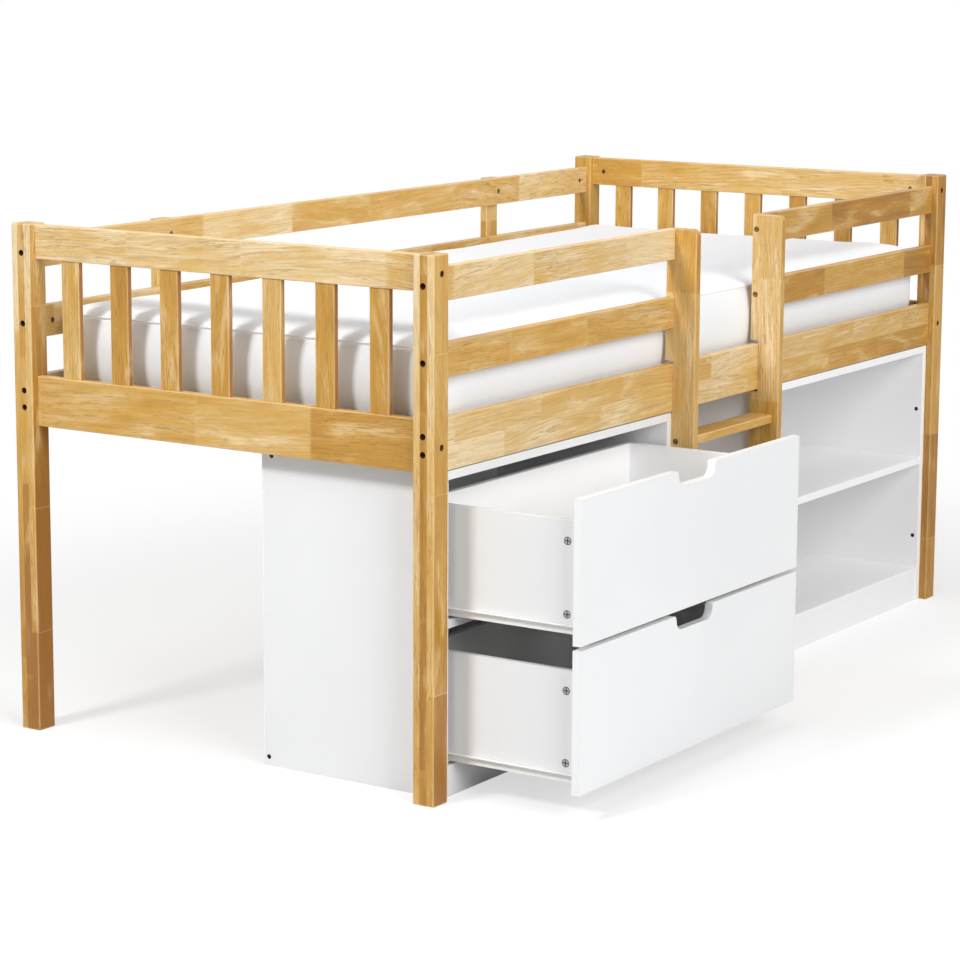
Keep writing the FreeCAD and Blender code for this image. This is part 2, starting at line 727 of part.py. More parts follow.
        box_web_end = box_x + out * runner_sheet
        foot_end = box_x + out * runner_foot
        drawer_web = block(
            box_x, box_web_end, runner_y0, box_back_y, box_bottom - runner_web_drop, box_bottom)
        drawer_flange = block(
            box_x - out * runner_flange, foot_end, runner_y0, box_back_y,
            box_bottom - runner_sheet, box_bottom)
        moving_start = point(box_x, moving_axle_y, moving_axle_z)
        moving_axle = rod(moving_start, outward, axle_radius, axle_length)
        group(f"{name}_drawer_runners", drawer_web.fuse([drawer_flange, moving_axle]).removeSplitter())
        roller = rod(moving_start + outward * roller_side_gap, outward, moving_roller_radius, roller_width)
        bore = rod(moving_start, outward, bore_radius, runner_space)
        group(f"{name}_moving_rollers", roller.cut(bore))


make_drawer("lower", lower_front_bottom)
make_drawer("upper", upper_front_bottom)

# Cut every hole, then save one file for each node
for name, holes in cuts.items():
    if name in groups:
        groups[name] = [shape.cut(holes) if holes else shape for shape in groups[name]]
    elif holes:
        solids[name] = solids[name].cut(holes)
rungs = [solids.pop(f"ladder_rung_{index}") for index in range(rung_count)]
groups["ladder_rungs"] = rungs


def plain_solids(shape):
    """The bare solids of a shape, with seams between coplanar faces removed."""
    return [solid.removeSplitter() for solid in shape.Solids]


for name, shape in solids.items():
    parts = plain_solids(shape)
    if len(parts) != 1:
        raise ValueError(f"{name} has {len(parts)} solids")
    parts[0].exportStep(f"parts/{name}.step")
for name, shapes in groups.items():
    parts = []
    for shape in shapes:
        parts.extend(plain_solids(shape))
    if len(parts) != len(shapes):
        raise ValueError(f"{name} has {len(parts)} solids for {len(shapes)} pieces")
    Part.makeCompound(parts).exportStep(f"parts/{name}.step")
print(len(solids) + len(groups), "nodes")
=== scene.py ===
import math

import bmesh
import bpy
from mathutils import Matrix, Vector, noise
from mathutils.bvhtree import BVHTree


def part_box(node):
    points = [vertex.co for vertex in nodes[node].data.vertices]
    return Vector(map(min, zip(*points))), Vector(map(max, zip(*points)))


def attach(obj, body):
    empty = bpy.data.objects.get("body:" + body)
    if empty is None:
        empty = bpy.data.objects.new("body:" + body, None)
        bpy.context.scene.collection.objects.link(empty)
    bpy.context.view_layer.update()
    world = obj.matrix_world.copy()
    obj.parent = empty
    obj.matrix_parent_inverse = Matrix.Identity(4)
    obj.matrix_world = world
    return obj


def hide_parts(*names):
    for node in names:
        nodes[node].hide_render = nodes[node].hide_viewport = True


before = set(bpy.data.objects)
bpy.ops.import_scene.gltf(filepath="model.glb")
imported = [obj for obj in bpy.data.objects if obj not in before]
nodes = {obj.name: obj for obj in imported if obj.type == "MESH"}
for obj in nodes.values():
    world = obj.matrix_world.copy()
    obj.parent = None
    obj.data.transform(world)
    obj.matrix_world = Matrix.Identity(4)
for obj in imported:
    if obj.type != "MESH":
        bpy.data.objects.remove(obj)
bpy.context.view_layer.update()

# Lengths are in metres, in the bed's own frame: X along the bed, Y to the back, Z up.
X, Y, Z = 0, 1, 2

# The photograph's camera, with its lens and sensor in millimetres
EYE = (-5.3014, -3.2535, 1.5467)
EYE_YAW = math.radians(56.57)
EYE_PITCH = math.radians(10.23)
EYE_ROLL = math.radians(-0.24)
LENS = 113.5
LENS_SHIFT = (0.0045, -0.0149)
SENSOR_WIDTH = 36
FARTHEST_SEEN = 400

# Pine: glued strips of short blocks, finger-jointed end to end
BLOCK_LENGTH = 0.31
TOOTH_PITCH = 0.0044
TOOTH_LENGTH = 0.008
GLUE_LINE = 0.0011
NARROW_RINGS = 0.0032
RING_SPREAD = 0.0046
GRAIN_SLANT = 0.14
TONE_SPREAD = 0.46
CLOUD_TONE = 0.75
STREAK_TONE = 0.6
BLOCK_STRETCH = 0.04
PLANED_MARGIN = 0.0005
# Width of the painted highlight along the pine's arrises
ARRIS_HIGHLIGHT_WIDTH = 0.0035
PINE_RELIEF = 0.00012

# Depths under a post's faces where the darkened wall of a bolt hole starts, raw end grain with painted shade
# over it, and where it is dark
HOLE_SHADE_DEPTHS = (0.0005, 0.0016)

# How far the grain wanders, how uneven its rings are, and how far beside and behind a block the pith lay
WANDER_REACH = 0.016
RING_WANDER = 0.02
RING_RIPPLE = 0.0034
PITH_ASIDE = 0.13
PITH_BEYOND = 0.06
PITH_LEAST = 0.012

# Turns of each texture of the pine per metre, along the grain and across it
WANDER_TURNS = (3.1, 15.0)
RIPPLE_TURNS = (21.0, 120.0)
FIBRE_TURNS = (14.0, 600.0)
STREAK_TURNS = (4.2, 72.0)
CLOUD_TURNS = (7.0, 30.0)
FLECK_TURNS = (30.0, 420.0)
PORE_TURNS = (90.0, 900.0)

# White boards of the chest and the shelf unit: their eased arrises, and the relief of their lacquer
BOARD_ARRIS = 0.0009
BOARD_ARRIS_STEPS = 2
RUBBED_WIDTH = 0.0016
ORANGE_PEEL = 0.00004

# Mattress: its empty cover stands in from the solid by the inset, and the filled one by the margin at least
COVER_INSET = 0.0065
COVER_FOOT = 0.001
COVER_MARGIN = 0.0008
NEAR_END_GAP = 0.02
COVER_CORNER = 0.045
TOP_EDGE = 0.04
BOTTOM_EDGE = 0.014
COVER_GRID = 0.014
COVER_SWELL = 0.0045
COVER_DENTS = ((4.0, 0.003), (11.0, 0.0014))
SEAM_POINTS = 560
SEAM_SMOOTHINGS = 4
TOP_PIPING_DROP = 0.022
BOTTOM_PIPING_RISE = 0.012
PIPING_RADIUS = 0.0015
FILL_FRAMES = 20

# Countersunk screws
HEAD_RADIUS = 0.0045
HEAD_HEIGHT = 0.003
HEAD_SIDES = 28
SHANK_RADIUS = 0.002
SHANK_SIDES = 14
RECESS_WIDTH = 0.0016
# Dark rings round the frame's screw heads, painted shade of the gap round each head
RIM_RADIUS = 0.005
RIM_WIDTH = 0.0009
RIM_STEPS = 24

# How far the screws go in, from the head's face
STILE_SCREW = 0.037
UPRIGHT_SCREW = 0.025
BOARD_SCREW = 0.04
TIE_SCREW = 0.025

# Heights of the screws, and where the units' front and back ones stand on Y
GUARD_RAIL_MIDDLES = (0.9255, 0.7915)
SIDE_RAIL_SCREWS = 0.647
RUNG_MIDDLES = (0.536, 0.336, 0.136)
UNIT_TOP_MIDDLE = 0.585
CHEST_RAIL_MIDDLE = 0.317
CHEST_PLINTH_SCREWS = 0.017
SHELF_MIDDLES = (0.3275, 0.07)
TIE_HEIGHTS = (0.1512, 0.4471)
UNIT_FRONT, UNIT_BACK = -0.3145, 0.0445

# Cams
CAM_RADIUS = 0.0075

# Studio: even light of the room, floor colour for bounced light, and how much of the floor is plain white
SKY_STRENGTH = 0.2
FLOOR_BOUNCE = 0.64
FLOOR_WHITE_NEAR = 0.6
FLOOR_WHITE_FROM = 0.9
FLOOR_WHITE_TO = 2.2
FLOOR_REACH = 120.0
AIM = (0.0, 0.1, 0.5)

# Softboxes: azimuth and elevation in degrees, distance and size in metres, and power in watts
SOFTBOXES = {
    "end_softbox": (-101, 39, 8.0, 1.4, 332),
    "front_softbox": (-23, 28, 12.0, 6.5, 910),
    "side_softbox": (15, 16, 12.0, 4.4, 105),
    "top_softbox": (-60, 82, 5.0, 2.6, 68)}


def paint(red, green, blue):
    """A colour as a paint card gives it, 0 to 255, made linear as a shader takes it."""
    def linear(share):
        return share / 12.92 if share <= 0.04045 else ((share + 0.055) / 1.055) ** 2.4
    return (linear(red / 255), linear(green / 255), linear(blue / 255), 1.0)


def grey(share):
    """A grey or white by its linear share of the light."""
    return (share, share, share, 1.0)


class Link:
    """A socket of a node tree. Arithmetic on it adds the Math nodes that the sum needs."""

    def __init__(self, tree, socket):
        self.tree = tree
        self.socket = socket

    def math(self, operation, *others):
        return self.tree.math(operation, self, *others)

    def __add__(self, other):
        return self.math("ADD", other)

    def __sub__(self, other):
        return self.math("SUBTRACT", other)

    def __rsub__(self, other):
        return self.tree.math("SUBTRACT", other, self)

    def __mul__(self, other):
        return self.math("MULTIPLY", other)

    def __truediv__(self, other):
        return self.math("DIVIDE", other)

    __radd__ = __add__
    __rmul__ = __mul__


class Tree:
    """A shader or geometry node tree. Every node that isn't arithmetic comes from its one method, node."""

    def __init__(self, tree):
        self.tree = tree

    def node(self, kind, settings=None, inputs=None, output=0):
        made = self.tree.nodes.new(kind)
        for name, value in (settings or {}).items():
            if name == "stops":
                self.set_stops(made.color_ramp, value)
            else:
                setattr(made, name, value)
        for name, value in (inputs or {}).items():
            for part in value if isinstance(value, list) else [value]:
                if isinstance(part, Link):
                    self.tree.links.new(part.socket, made.inputs[name])
                else:
                    made.inputs[name].default_value = part
        if isinstance(output, tuple):
            return [Link(self, made.outputs[name]) for name in output]
        return Link(self, made.outputs[output]) if made.outputs else None

    def set_stops(self, ramp, stops):
        while len(ramp.elements) > 1:
            ramp.elements.remove(ramp.elements[0])
        for number, (place, colour) in enumerate(stops):
            stop = ramp.elements[0] if number == 0 else ramp.elements.new(place)
            stop.position = place
            stop.color = colour

    def math(self, operation, *values):
        return self.node("ShaderNodeMath", {"operation": operation}, dict(enumerate(values)))

    def vector(self, x, y, z):
        return self.node("ShaderNodeCombineXYZ", inputs={0: x, 1: y, 2: z})

    def split(self, vector):
        return self.node("ShaderNodeSeparateXYZ", inputs={0: vector}, output=("X", "Y", "Z"))


class Finish(Tree):
    """A material, with short words for the textures and mixes that a finish is made of."""

    def __init__(self, name):
        self.material = bpy.data.materials.new(name)
        self.material.use_nodes = True
        super().__init__(self.material.node_tree)
        self.tree.nodes.clear()

    def place(self):
        """Where a point is in the bed's frame, as three links."""
        return self.split(self.node("ShaderNodeTexCoord", output="Object"))

    def facing(self):
        """Which way the surface faces, as three links."""
        return self.split(self.node("ShaderNodeTexCoord", output="Normal"))

    def noise(self, vector, scale=1.0, detail=2.0, roughness=0.5, distortion=0.0):
        return self.node("ShaderNodeTexNoise", {}, {
            "Vector": vector, "Scale": scale, "Detail": detail,
            "Roughness": roughness, "Distortion": distortion})

    def draw_lots(self, x, y, z):
        """Four random numbers from 0 to 1 that stay the same while x, y and z do."""
        value, colour = self.node(
            "ShaderNodeTexWhiteNoise", {"noise_dimensions": "3D"},
            {"Vector": self.vector(x, y, z)}, ("Value", "Color"))
        parts = self.node("ShaderNodeSeparateColor", inputs={0: colour}, output=("Red", "Green", "Blue"))
        return [value] + parts

    def rise(self, value, low, high):
        """0 below low, 1 above high, and a smooth step between them."""
        return self.node(
            "ShaderNodeMapRange", {"interpolation_type": "SMOOTHSTEP"},
            {"Value": value, "From Min": low, "From Max": high})

    def ramp(self, value, stops):
        return self.node("ShaderNodeValToRGB", {"stops": stops}, {0: value})

    def tint(self, base, colour, amount, way="MIX"):
        return self.node(
            "ShaderNodeMix", {"data_type": "RGBA", "blend_type": way}, {0: amount, 6: base, 7: colour}, 2)

    def bump(self, height, distance, strength=1.0):
        return self.node("ShaderNodeBump", {}, {"Height": height, "Distance": distance, "Strength": strength})

    def surface(self, **sockets):
        """Ends the tree in a Principled shader. Underscores stand for the blanks in its sockets' names."""
        named = {name.replace("_", " "): value for name, value in sockets.items()}
        self.close(self.node("ShaderNodeBsdfPrincipled", {}, named))
        return self.material

    def close(self, shader):
        self.node("ShaderNodeOutputMaterial", {}, {"Surface": shader})


# Pine

PINE_TONES = [
    (0.0, paint(160, 107, 38)), (0.25, paint(188, 139, 51)), (0.5, paint(208, 162, 76)),
    (0.75, paint(223, 188, 121)), (1.0, paint(239, 217, 172))]
RING_SHADES = [
    (0.0, grey(0.0)), (0.35, grey(0.12)), (0.72, grey(0.55)),
    (0.88, grey(1.0)), (0.95, grey(0.75)), (1.0, grey(0.0))]
LATE_WOOD = paint(160, 106, 46)
HEART_STREAK = paint(170, 118, 54)
PALE_SAP = paint(243, 220, 175)
GRAIN_LINE = paint(140, 90, 36)
FLECK = paint(146, 94, 38)
FIBRE_SHADE = paint(156, 108, 52)
PORE = paint(110, 70, 32)
# Colour of the painted highlight along the pine's arrises
ARRIS_HIGHLIGHT = paint(241, 212, 158)
GLUE = paint(232, 200, 146)
RAW_AND_SHADED_HOLE_WALL = paint(74, 40, 14)


def repeats(node, axis, members=1, size=None, strips=1):
    """How a group's members, or a board's glued strips, repeat along an axis.
    Gives the start of the first cell, the pitch of the cells, a member's size and a strip's width."""
    low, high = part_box(node)
    if members == 1:
        size = high[axis] - low[axis]
        pitch = size + 2 * PLANED_MARGIN
    else:
        pitch = (high[axis] - low[axis] - size) / (members - 1)
    start = low[axis] + size / 2 - pitch / 2
    return start, pitch, size, pitch / strips


def within(value, start, pitch):
    """How far a value is from the middle of the cell that it falls in."""
    return ((value - start) / pitch).math("FRACT") * pitch - pitch / 2


def second_least(x, y, z):
    """The middle one of three depths under a box's faces, which is how far its nearest arris is."""
    return x.math("MINIMUM", y).math("MAXIMUM", x.math("MAXIMUM", y).math("MINIMUM", z))


class Timber(Finish):
    """The finish of a pine board, post or group of slats: its strips, its blocks and how its grain lies."""

    def __init__(self, node, grain, wide, thin, seed, wide_cells=None, thin_cells=None, jointed=True):
        super().__init__(node + "_pine")
        place = self.place()
        low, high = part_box(node)
        self.wide = wide
        self.half_length = (high[grain] - low[grain]) / 2
        self.middle = (high[grain] + low[grain]) / 2
        self.along, self.across, self.through = place[grain], place[wide], place[thin]
        self.wide_start, self.wide_pitch, self.wide_size, self.strip_width = repeats(
            node, wide, **(wide_cells or {}))
        self.thin_start, self.thin_pitch, self.thin_size, self.strip_depth = repeats(
            node, thin, **(thin_cells or {}))
        self.strip = ((self.across - self.wide_start) / self.strip_width).math("FLOOR")
        self.layer = ((self.through - self.thin_start) / self.strip_depth).math("FLOOR")
        self.glue_blocks(seed, jointed)
        self.lay_grain()
        self.end_grain = self.rise(self.facing()[grain].math("ABSOLUTE"), 0.6, 0.95)

    def glue_blocks(self, seed, jointed):
        """The blocks of each strip, their finger joints, and the eight lots that are drawn for each block."""
        if jointed:
            lot = self.draw_lots(self.strip, self.layer, seed)
            tooth = (self.across / TOOTH_PITCH).math("PINGPONG", 0.5) * (2 * TOOTH_LENGTH)
            stretch = (self.along * 9.0 + lot[1] * 40.0).math("SINE") * BLOCK_STRETCH
            run = (self.along + tooth + stretch) / BLOCK_LENGTH + lot[0] * 13.0
            block = run.math("FLOOR")
            self.beyond_middle = (run - block - 0.5) * BLOCK_LENGTH
            to_end = BLOCK_LENGTH / 2 - self.beyond_middle.math("ABSOLUTE")
            self.joint = 1 - self.rise(to_end, 0.0, GLUE_LINE)
        else:
            block = 0.0
            self.beyond_middle = self.along - self.middle
            self.joint = None
        self.blank = self.draw_lots(self.strip * 3.0 + self.layer * 17.0, block, seed + 0.5)
        self.cut = self.draw_lots(self.strip * 5.0 + self.layer * 7.0, block, seed + 4.5)

    def drawn_out(self, spread, across, shift=None, **looks):
        """Noise drawn out along the grain, with so many turns per metre along it and across it."""
        far, close = spread
        along = self.along * far if shift is None else self.along * far + shift
        return self.noise(self.vector(along, across * close, self.through * close), **looks)

    def lay_grain(self):
        """The grain leans a little within a block and wanders along it."""
        self.wander = self.drawn_out(WANDER_TURNS, self.across, self.blank[0] * 31.0, detail=2.0) - 0.5
        lean = (self.cut[0] - 0.5) * GRAIN_SLANT
        self.leaning = self.across + self.beyond_middle * lean + self.wander * WANDER_REACH

    def late_wood(self):
        """1 in the dark part of a growth ring. Each block is cut at its own place beside the pith."""
        aside = within(self.across, self.wide_start, self.strip_width) + (self.leaning - self.across)
        aside = aside - (self.blank[1] - 0.5) * PITH_ASIDE
        beyond = within(self.through, self.thin_start, self.strip_depth)
        beyond = beyond + self.blank[2] * PITH_BEYOND + PITH_LEAST
        ripple = self.drawn_out(RIPPLE_TURNS, self.leaning, detail=2.0, roughness=0.6) - 0.5
        from_pith = self.node(
            "ShaderNodeVectorMath", {"operation": "LENGTH"}, {0: self.vector(aside, beyond, 0.0)}, "Value")
        uneven = from_pith + self.wander * RING_WANDER + ripple * RING_RIPPLE
        ring = (uneven / (self.cut[1] * RING_SPREAD + NARROW_RINGS)).math("FRACT")
        return self.node("ShaderNodeSeparateColor", inputs={0: self.ramp(ring, RING_SHADES)}, output="Red")

    def depths(self):
        """How deep a point lies under the nearest narrow side, broad face and end of its board."""
        side = self.wide_size / 2 - within(self.across, self.wide_start, self.wide_pitch).math("ABSOLUTE")
        face = self.thin_size / 2 - within(self.through, self.thin_start, self.thin_pitch).math("ABSOLUTE")
        end = self.half_length - (self.along - self.middle).math("ABSOLUTE")
        return side, face, end

    def tone(self, cloud, streak, pale, heart, paler_per_metre, edge):
        """How pale the wood is at a point, from 0 to 1, before its finer marks are drawn."""
        tone = (self.blank[0] - 0.5) * TONE_SPREAD + (cloud - 0.5) * CLOUD_TONE
        tone = tone + (streak - 0.5) * STREAK_TONE + pale
        if heart:
            tone = tone - self.rise((self.strip - 1.0).math("ABSOLUTE"), 0.9, 0.1) * heart
        # The board gets paler towards one end along its grain and darker towards the other
        if paler_per_metre:
            tone = tone + (self.along - self.middle) * paler_per_metre
        # Faces that look along the wide axis are darkened, which paints shade on them
        if edge:
            tone = tone - self.rise(self.facing()[self.wide].math("ABSOLUTE"), 0.6, 0.9) * edge
        return tone


def pine(node, grain, wide, thin, seed, pale, heart=0.0, paler_per_metre=0.0, edge=0.0, drilled=False, **cells):
    """Lacquered pine of a board, post or group of slats. Grain runs along one axis, wide and thin cross it.
    pale is 0 for the deepest amber and 1 for the palest board, heart darkens the middle strip, the next
    argument is how much paler the board gets for each metre along its grain, and the one after darkens the
    faces that look along the wide axis, which paints shade on them. The walls of the holes in a drilled board
    are darkened: raw end grain with painted shade."""
    wood = Timber(node, grain, wide, thin, seed, **cells)
    leaning, blank, cut = wood.leaning, wood.blank, wood.cut
    late = wood.late_wood()
    fibre = wood.drawn_out(FIBRE_TURNS, leaning, detail=2.0, roughness=0.6)
    streak = wood.drawn_out(STREAK_TURNS, leaning, blank[1] * 19.0, detail=4.0, roughness=0.62)
    cloud = wood.drawn_out(CLOUD_TURNS, leaning, blank[2] * 11.0, detail=3.0, roughness=0.55, distortion=0.5)
    fleck = wood.drawn_out(FLECK_TURNS, leaning, detail=3.0, roughness=0.66, distortion=0.6)
    pore = wood.rise(wood.drawn_out(PORE_TURNS, leaning, detail=1.0), 0.62, 0.76)
    line = (1 - wood.rise((streak - 0.5).math("ABSOLUTE"), 0.0, 0.028)) * wood.rise(cloud, 0.36, 0.6)
    flecked = wood.rise(fleck, 0.54, 0.68) * (wood.rise(cut[2], 0.4, 0.95) * 0.62 + 0.1)

    colour = wood.ramp(wood.tone(cloud, streak, pale, heart, paler_per_metre, edge), PINE_TONES)
    colour = wood.tint(colour, PALE_SAP, wood.rise(cloud, 0.54, 0.74) * 0.4)
    colour = wood.tint(colour, LATE_WOOD, late * (cut[3] * 0.2 + 0.07))
    colour = wood.tint(colour, HEART_STREAK, wood.rise(streak, 0.56, 0.76) * 0.5)
    colour = wood.tint(colour, GRAIN_LINE, line * (cut[3] * 0.3 + 0.22))
    colour = wood.tint(colour, FLECK, flecked)
    colour = wood.tint(colour, PORE, pore * 0.3)
    colour = wood.tint(colour, FIBRE_SHADE, wood.rise(fibre, 0.42, 0.78) * 0.3)
    height = late * 0.35 + fibre * 0.5 - pore * 0.5 - flecked * 0.3
    if wood.joint:
        colour = wood.tint(colour, GLUE, wood.joint * 0.55)
        height = height - wood.joint * 0.6

    # Arrises painted paler, a painted highlight along them; end grain that drinks more lacquer; and bolt-hole
    # walls darkened, raw end grain with painted shade over it
    depths = wood.depths()
    arris_highlight_and_wear = (1 - wood.rise(second_least(*depths), 0.0, ARRIS_HIGHLIGHT_WIDTH)) * (cloud * 0.7 + 0.15)
    colour = wood.tint(colour, ARRIS_HIGHLIGHT, arris_highlight_and_wear * 0.75)
    colour = wood.tint(colour, LATE_WOOD, wood.end_grain * 0.4)
    if drilled:
        side, face, end = depths
        # The hole walls are darkened: raw end grain, and painted shade down in the hole
        hole_wall_shade = wood.rise(side.math("MINIMUM", face).math("MINIMUM", end), *HOLE_SHADE_DEPTHS)
        colour = wood.tint(colour, RAW_AND_SHADED_HOLE_WALL, hole_wall_shade * 0.9)
    return wood.surface(
        Base_Color=colour,
        Roughness=late * 0.08 + cloud * 0.14 + wood.end_grain * 0.15 + 0.36,
        Normal=wood.bump(height, PINE_RELIEF, 0.6),
        Coat_Weight=0.18, Coat_Roughness=0.22)


# White boards

# One white lacquer in lit and shaded copies: the chest and drawer fronts are painted darker and the drawers'
# left sides darker still, which is painted shade; the drawers' right sides and backs and the shelf unit are
# painted lighter, which is painted light
SHADED_CHEST_PAINTS = (paint(238, 239, 240), paint(231, 232, 233), paint(222, 222, 221))
SHADED_DRAWER_LEFT_PAINTS = (paint(230, 231, 232), paint(223, 224, 225), paint(214, 214, 213))
LIT_DRAWER_BACK_PAINTS = (paint(248, 248, 249), paint(243, 243, 244), paint(232, 232, 231))
LIT_SHELF_PAINTS = (paint(253, 253, 254), paint(249, 249, 250), paint(238, 238, 237))


def arris_distance(node, place):
    """How far a point of a box-shaped board is from its nearest arris."""
    low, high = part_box(node)
    x, y, z = (
        (high[axis] - low[axis]) / 2 - (place[axis] - (high[axis] + low[axis]) / 2).math("ABSOLUTE")
        for axis in (X, Y, Z))
    return second_least(x, y, z)


def white_board(node, paints):
    """White lacquered board: a faint orange-peel, a little unevenness and rubbed arrises."""
    white, shade, edge = paints
    board = Finish(node + "_white")
    place = board.place()
    here = board.vector(*place)
    cloud = board.noise(here, scale=3.1, detail=3.0)
    peel = board.noise(here, scale=420.0)
    smeared = board.vector(place[X] * 5.0, place[Y] * 5.0, place[Z] * 22.0)
    smear = board.noise(smeared, detail=4.0, roughness=0.65)
    speck = board.rise(board.noise(here, scale=260.0, detail=1.0), 0.72, 0.8)
    # Here the arrises are rubbed to a darker tone, which is wear
    arris_highlight_and_wear = (1 - board.rise(arris_distance(node, place), 0.0, RUBBED_WIDTH)) * (cloud * 0.8 + 0.1)
    colour = board.tint(white, shade, board.rise(cloud, 0.35, 0.75) * 0.5)
    colour = board.tint(colour, edge, arris_highlight_and_wear * 0.7)
    colour = board.tint(colour, edge, speck * 0.25)
    return board.surface(
        Base_Color=colour,
        Roughness=smear * 0.16 + peel * 0.05 + 0.28,
        Normal=board.bump(peel + speck * 0.3, ORANGE_PEEL, 0.5),
        Coat_Weight=0.1, Coat_Roughness=0.12)


def white_hardboard():
    """Thin painted hardboard of the backs and drawer bottoms: felted fibres show through its paint."""
    board = Finish("white_hardboard")
    here = board.vector(*board.place())
    felt = board.noise(here, scale=240.0, detail=4.0, roughness=0.7, distortion=1.2)
    cloud = board.noise(here, scale=4.0, detail=3.0)
    colour = board.tint(paint(246, 246, 244), paint(232, 231, 227), board.rise(felt, 0.45, 0.75) * 0.5)
    colour = board.tint(colour, paint(226, 225, 220), board.rise(cloud, 0.5, 0.8) * 0.35)
    return board.surface(
        Base_Color=colour, Roughness=felt * 0.18 + 0.42, Normal=board.bump(felt, 0.0002, 0.5))


# Fabric

def mattress_fabric(name, thread):
    """White knit with ribs of a thread's width both ways on each side, slight slubs and a soft sheen."""
    cloth = Finish(name)
    x, y, z = cloth.place()
    turn = math.tau / thread
    nx, ny, nz = (part * part for part in cloth.facing())
    rib_x, rib_y, rib_z = ((part * turn).math("SINE") for part in (x, y, z))
    weave = rib_x * rib_y * nz + rib_x * rib_z * ny + rib_y * rib_z * nx
    here = cloth.vector(x, y, z)
    slub = cloth.noise(cloth.vector(x * 60.0, y * 420.0, z * 420.0))
    cloud = cloth.noise(here, scale=5.0, detail=3.0)
    pile = cloth.noise(here, scale=900.0)
    shade = cloth.rise(weave, -0.9, 0.6)
    colour = cloth.tint(paint(234, 237, 243), paint(251, 253, 255), shade)
    colour = cloth.tint(colour, paint(238, 241, 246), cloth.rise(slub, 0.55, 0.8) * 0.4)
    colour = cloth.tint(colour, paint(242, 245, 250), cloth.rise(cloud, 0.4, 0.8) * 0.4)
    return cloth.surface(
        Base_Color=colour,
        Roughness=0.92 - shade * 0.12 - pile * 0.06,
        Normal=cloth.bump(weave * 0.6 + slub * 0.5 + pile * 0.5, 0.0003, 0.5),
        Sheen_Weight=0.12, Sheen_Roughness=0.4)


# Metals and plastics

def metal(name, bright, dull, roughness, metallic):
    """Plated or blackened steel: uneven tone, fine scratches and a mottled sheen."""
    steel = Finish(name)
    here = steel.vector(*steel.place())
    mottle = steel.noise(here, scale=210.0, detail=3.0, roughness=0.6)
    scratch = steel.noise(here, scale=900.0, roughness=0.6)
    worn = steel.rise(mottle, 0.4, 0.7)
    colour = steel.tint(dull, bright, worn)
    return steel.surface(
        Base_Color=colour,
        Metallic=metallic - worn * 0.04,
        Roughness=scratch * 0.18 + roughness - worn * 0.08,
        Normal=steel.bump(scratch * 0.6 + mottle * 0.4, 0.00005, 0.5))


def cam_metal(node):
    """Die-cast cam: a satin face, with painted shade in its cross slot and in the gap round its rim."""
    cam = Finish(node + "_metal")
    place = cam.place()
    low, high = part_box(node)
    aside = (place[Y] - (high.y - CAM_RADIUS)).math("ABSOLUTE")
    rise = ((place[Z] - low.z - CAM_RADIUS).math("ABSOLUTE")).math(
        "MINIMUM", (place[Z] - high.z + CAM_RADIUS).math("ABSOLUTE"))
    from_middle = (aside * aside + rise * rise).math("SQRT")
    slot_shade = cam.rise((place[X] - low.x).math("MINIMUM", high.x - place[X]), 0.0003, 0.0012)
    rim_gap_shade = cam.rise(from_middle, CAM_RADIUS * 0.74, CAM_RADIUS * 0.9)
    mottle = cam.noise(cam.vector(*place), scale=600.0, detail=3.0, roughness=0.6)
    colour = cam.tint(paint(168, 168, 166), paint(206, 206, 204), cam.rise(mottle, 0.4, 0.65))
    # Painted shade in the gap round the rim and down in the cross slot
    colour = cam.tint(colour, paint(52, 52, 54), rim_gap_shade * 0.9)
    colour = cam.tint(colour, paint(40, 40, 42), slot_shade)
    return cam.surface(
        Base_Color=colour,
        Metallic=0.7 - slot_shade * 0.6 - rim_gap_shade * 0.1,
        Roughness=mottle * 0.2 + 0.36,
        Normal=cam.bump(mottle, 0.00005, 0.5))


def coated_runner():
    """Roller runner: pressed steel under a white powder coat, worn grey where the rollers run."""
    steel = Finish("coated_runner")
    x, y, z = steel.place()
    speckle = steel.noise(steel.vector(x, y, z), scale=700.0)
    tracks = steel.noise(steel.vector(x * 500.0, y * 8.0, z * 500.0), detail=3.0)
    colour = steel.tint(paint(238, 238, 236), paint(206, 207, 208), steel.rise(tracks, 0.55, 0.8) * 0.5)
    return steel.surface(
        Base_Color=colour, Roughness=speckle * 0.2 + 0.3, Normal=steel.bump(speckle, 0.00008, 0.6))


def nylon_roller():
    """White nylon rollers, faintly yellow, with turned marks and a smoother track."""
    nylon = Finish("nylon_roller")
    here = nylon.vector(*nylon.place())
    cloud = nylon.noise(here, scale=160.0)
    fine = nylon.noise(here, scale=1500.0, detail=1.0)
    colour = nylon.tint(paint(242, 241, 234), paint(226, 224, 212), nylon.rise(cloud, 0.4, 0.7) * 0.6)
    return nylon.surface(
        Base_Color=colour, Roughness=cloud * 0.2 + 0.3, Normal=nylon.bump(fine, 0.00005, 0.4),
        Subsurface_Weight=0.05)


# Dressing the CAD nodes

def dress(name, material):
    """Gives a CAD node its material."""
    mesh = nodes[name].data
    if mesh.materials:
        mesh.materials[0] = material
    else:
        mesh.materials.append(material)


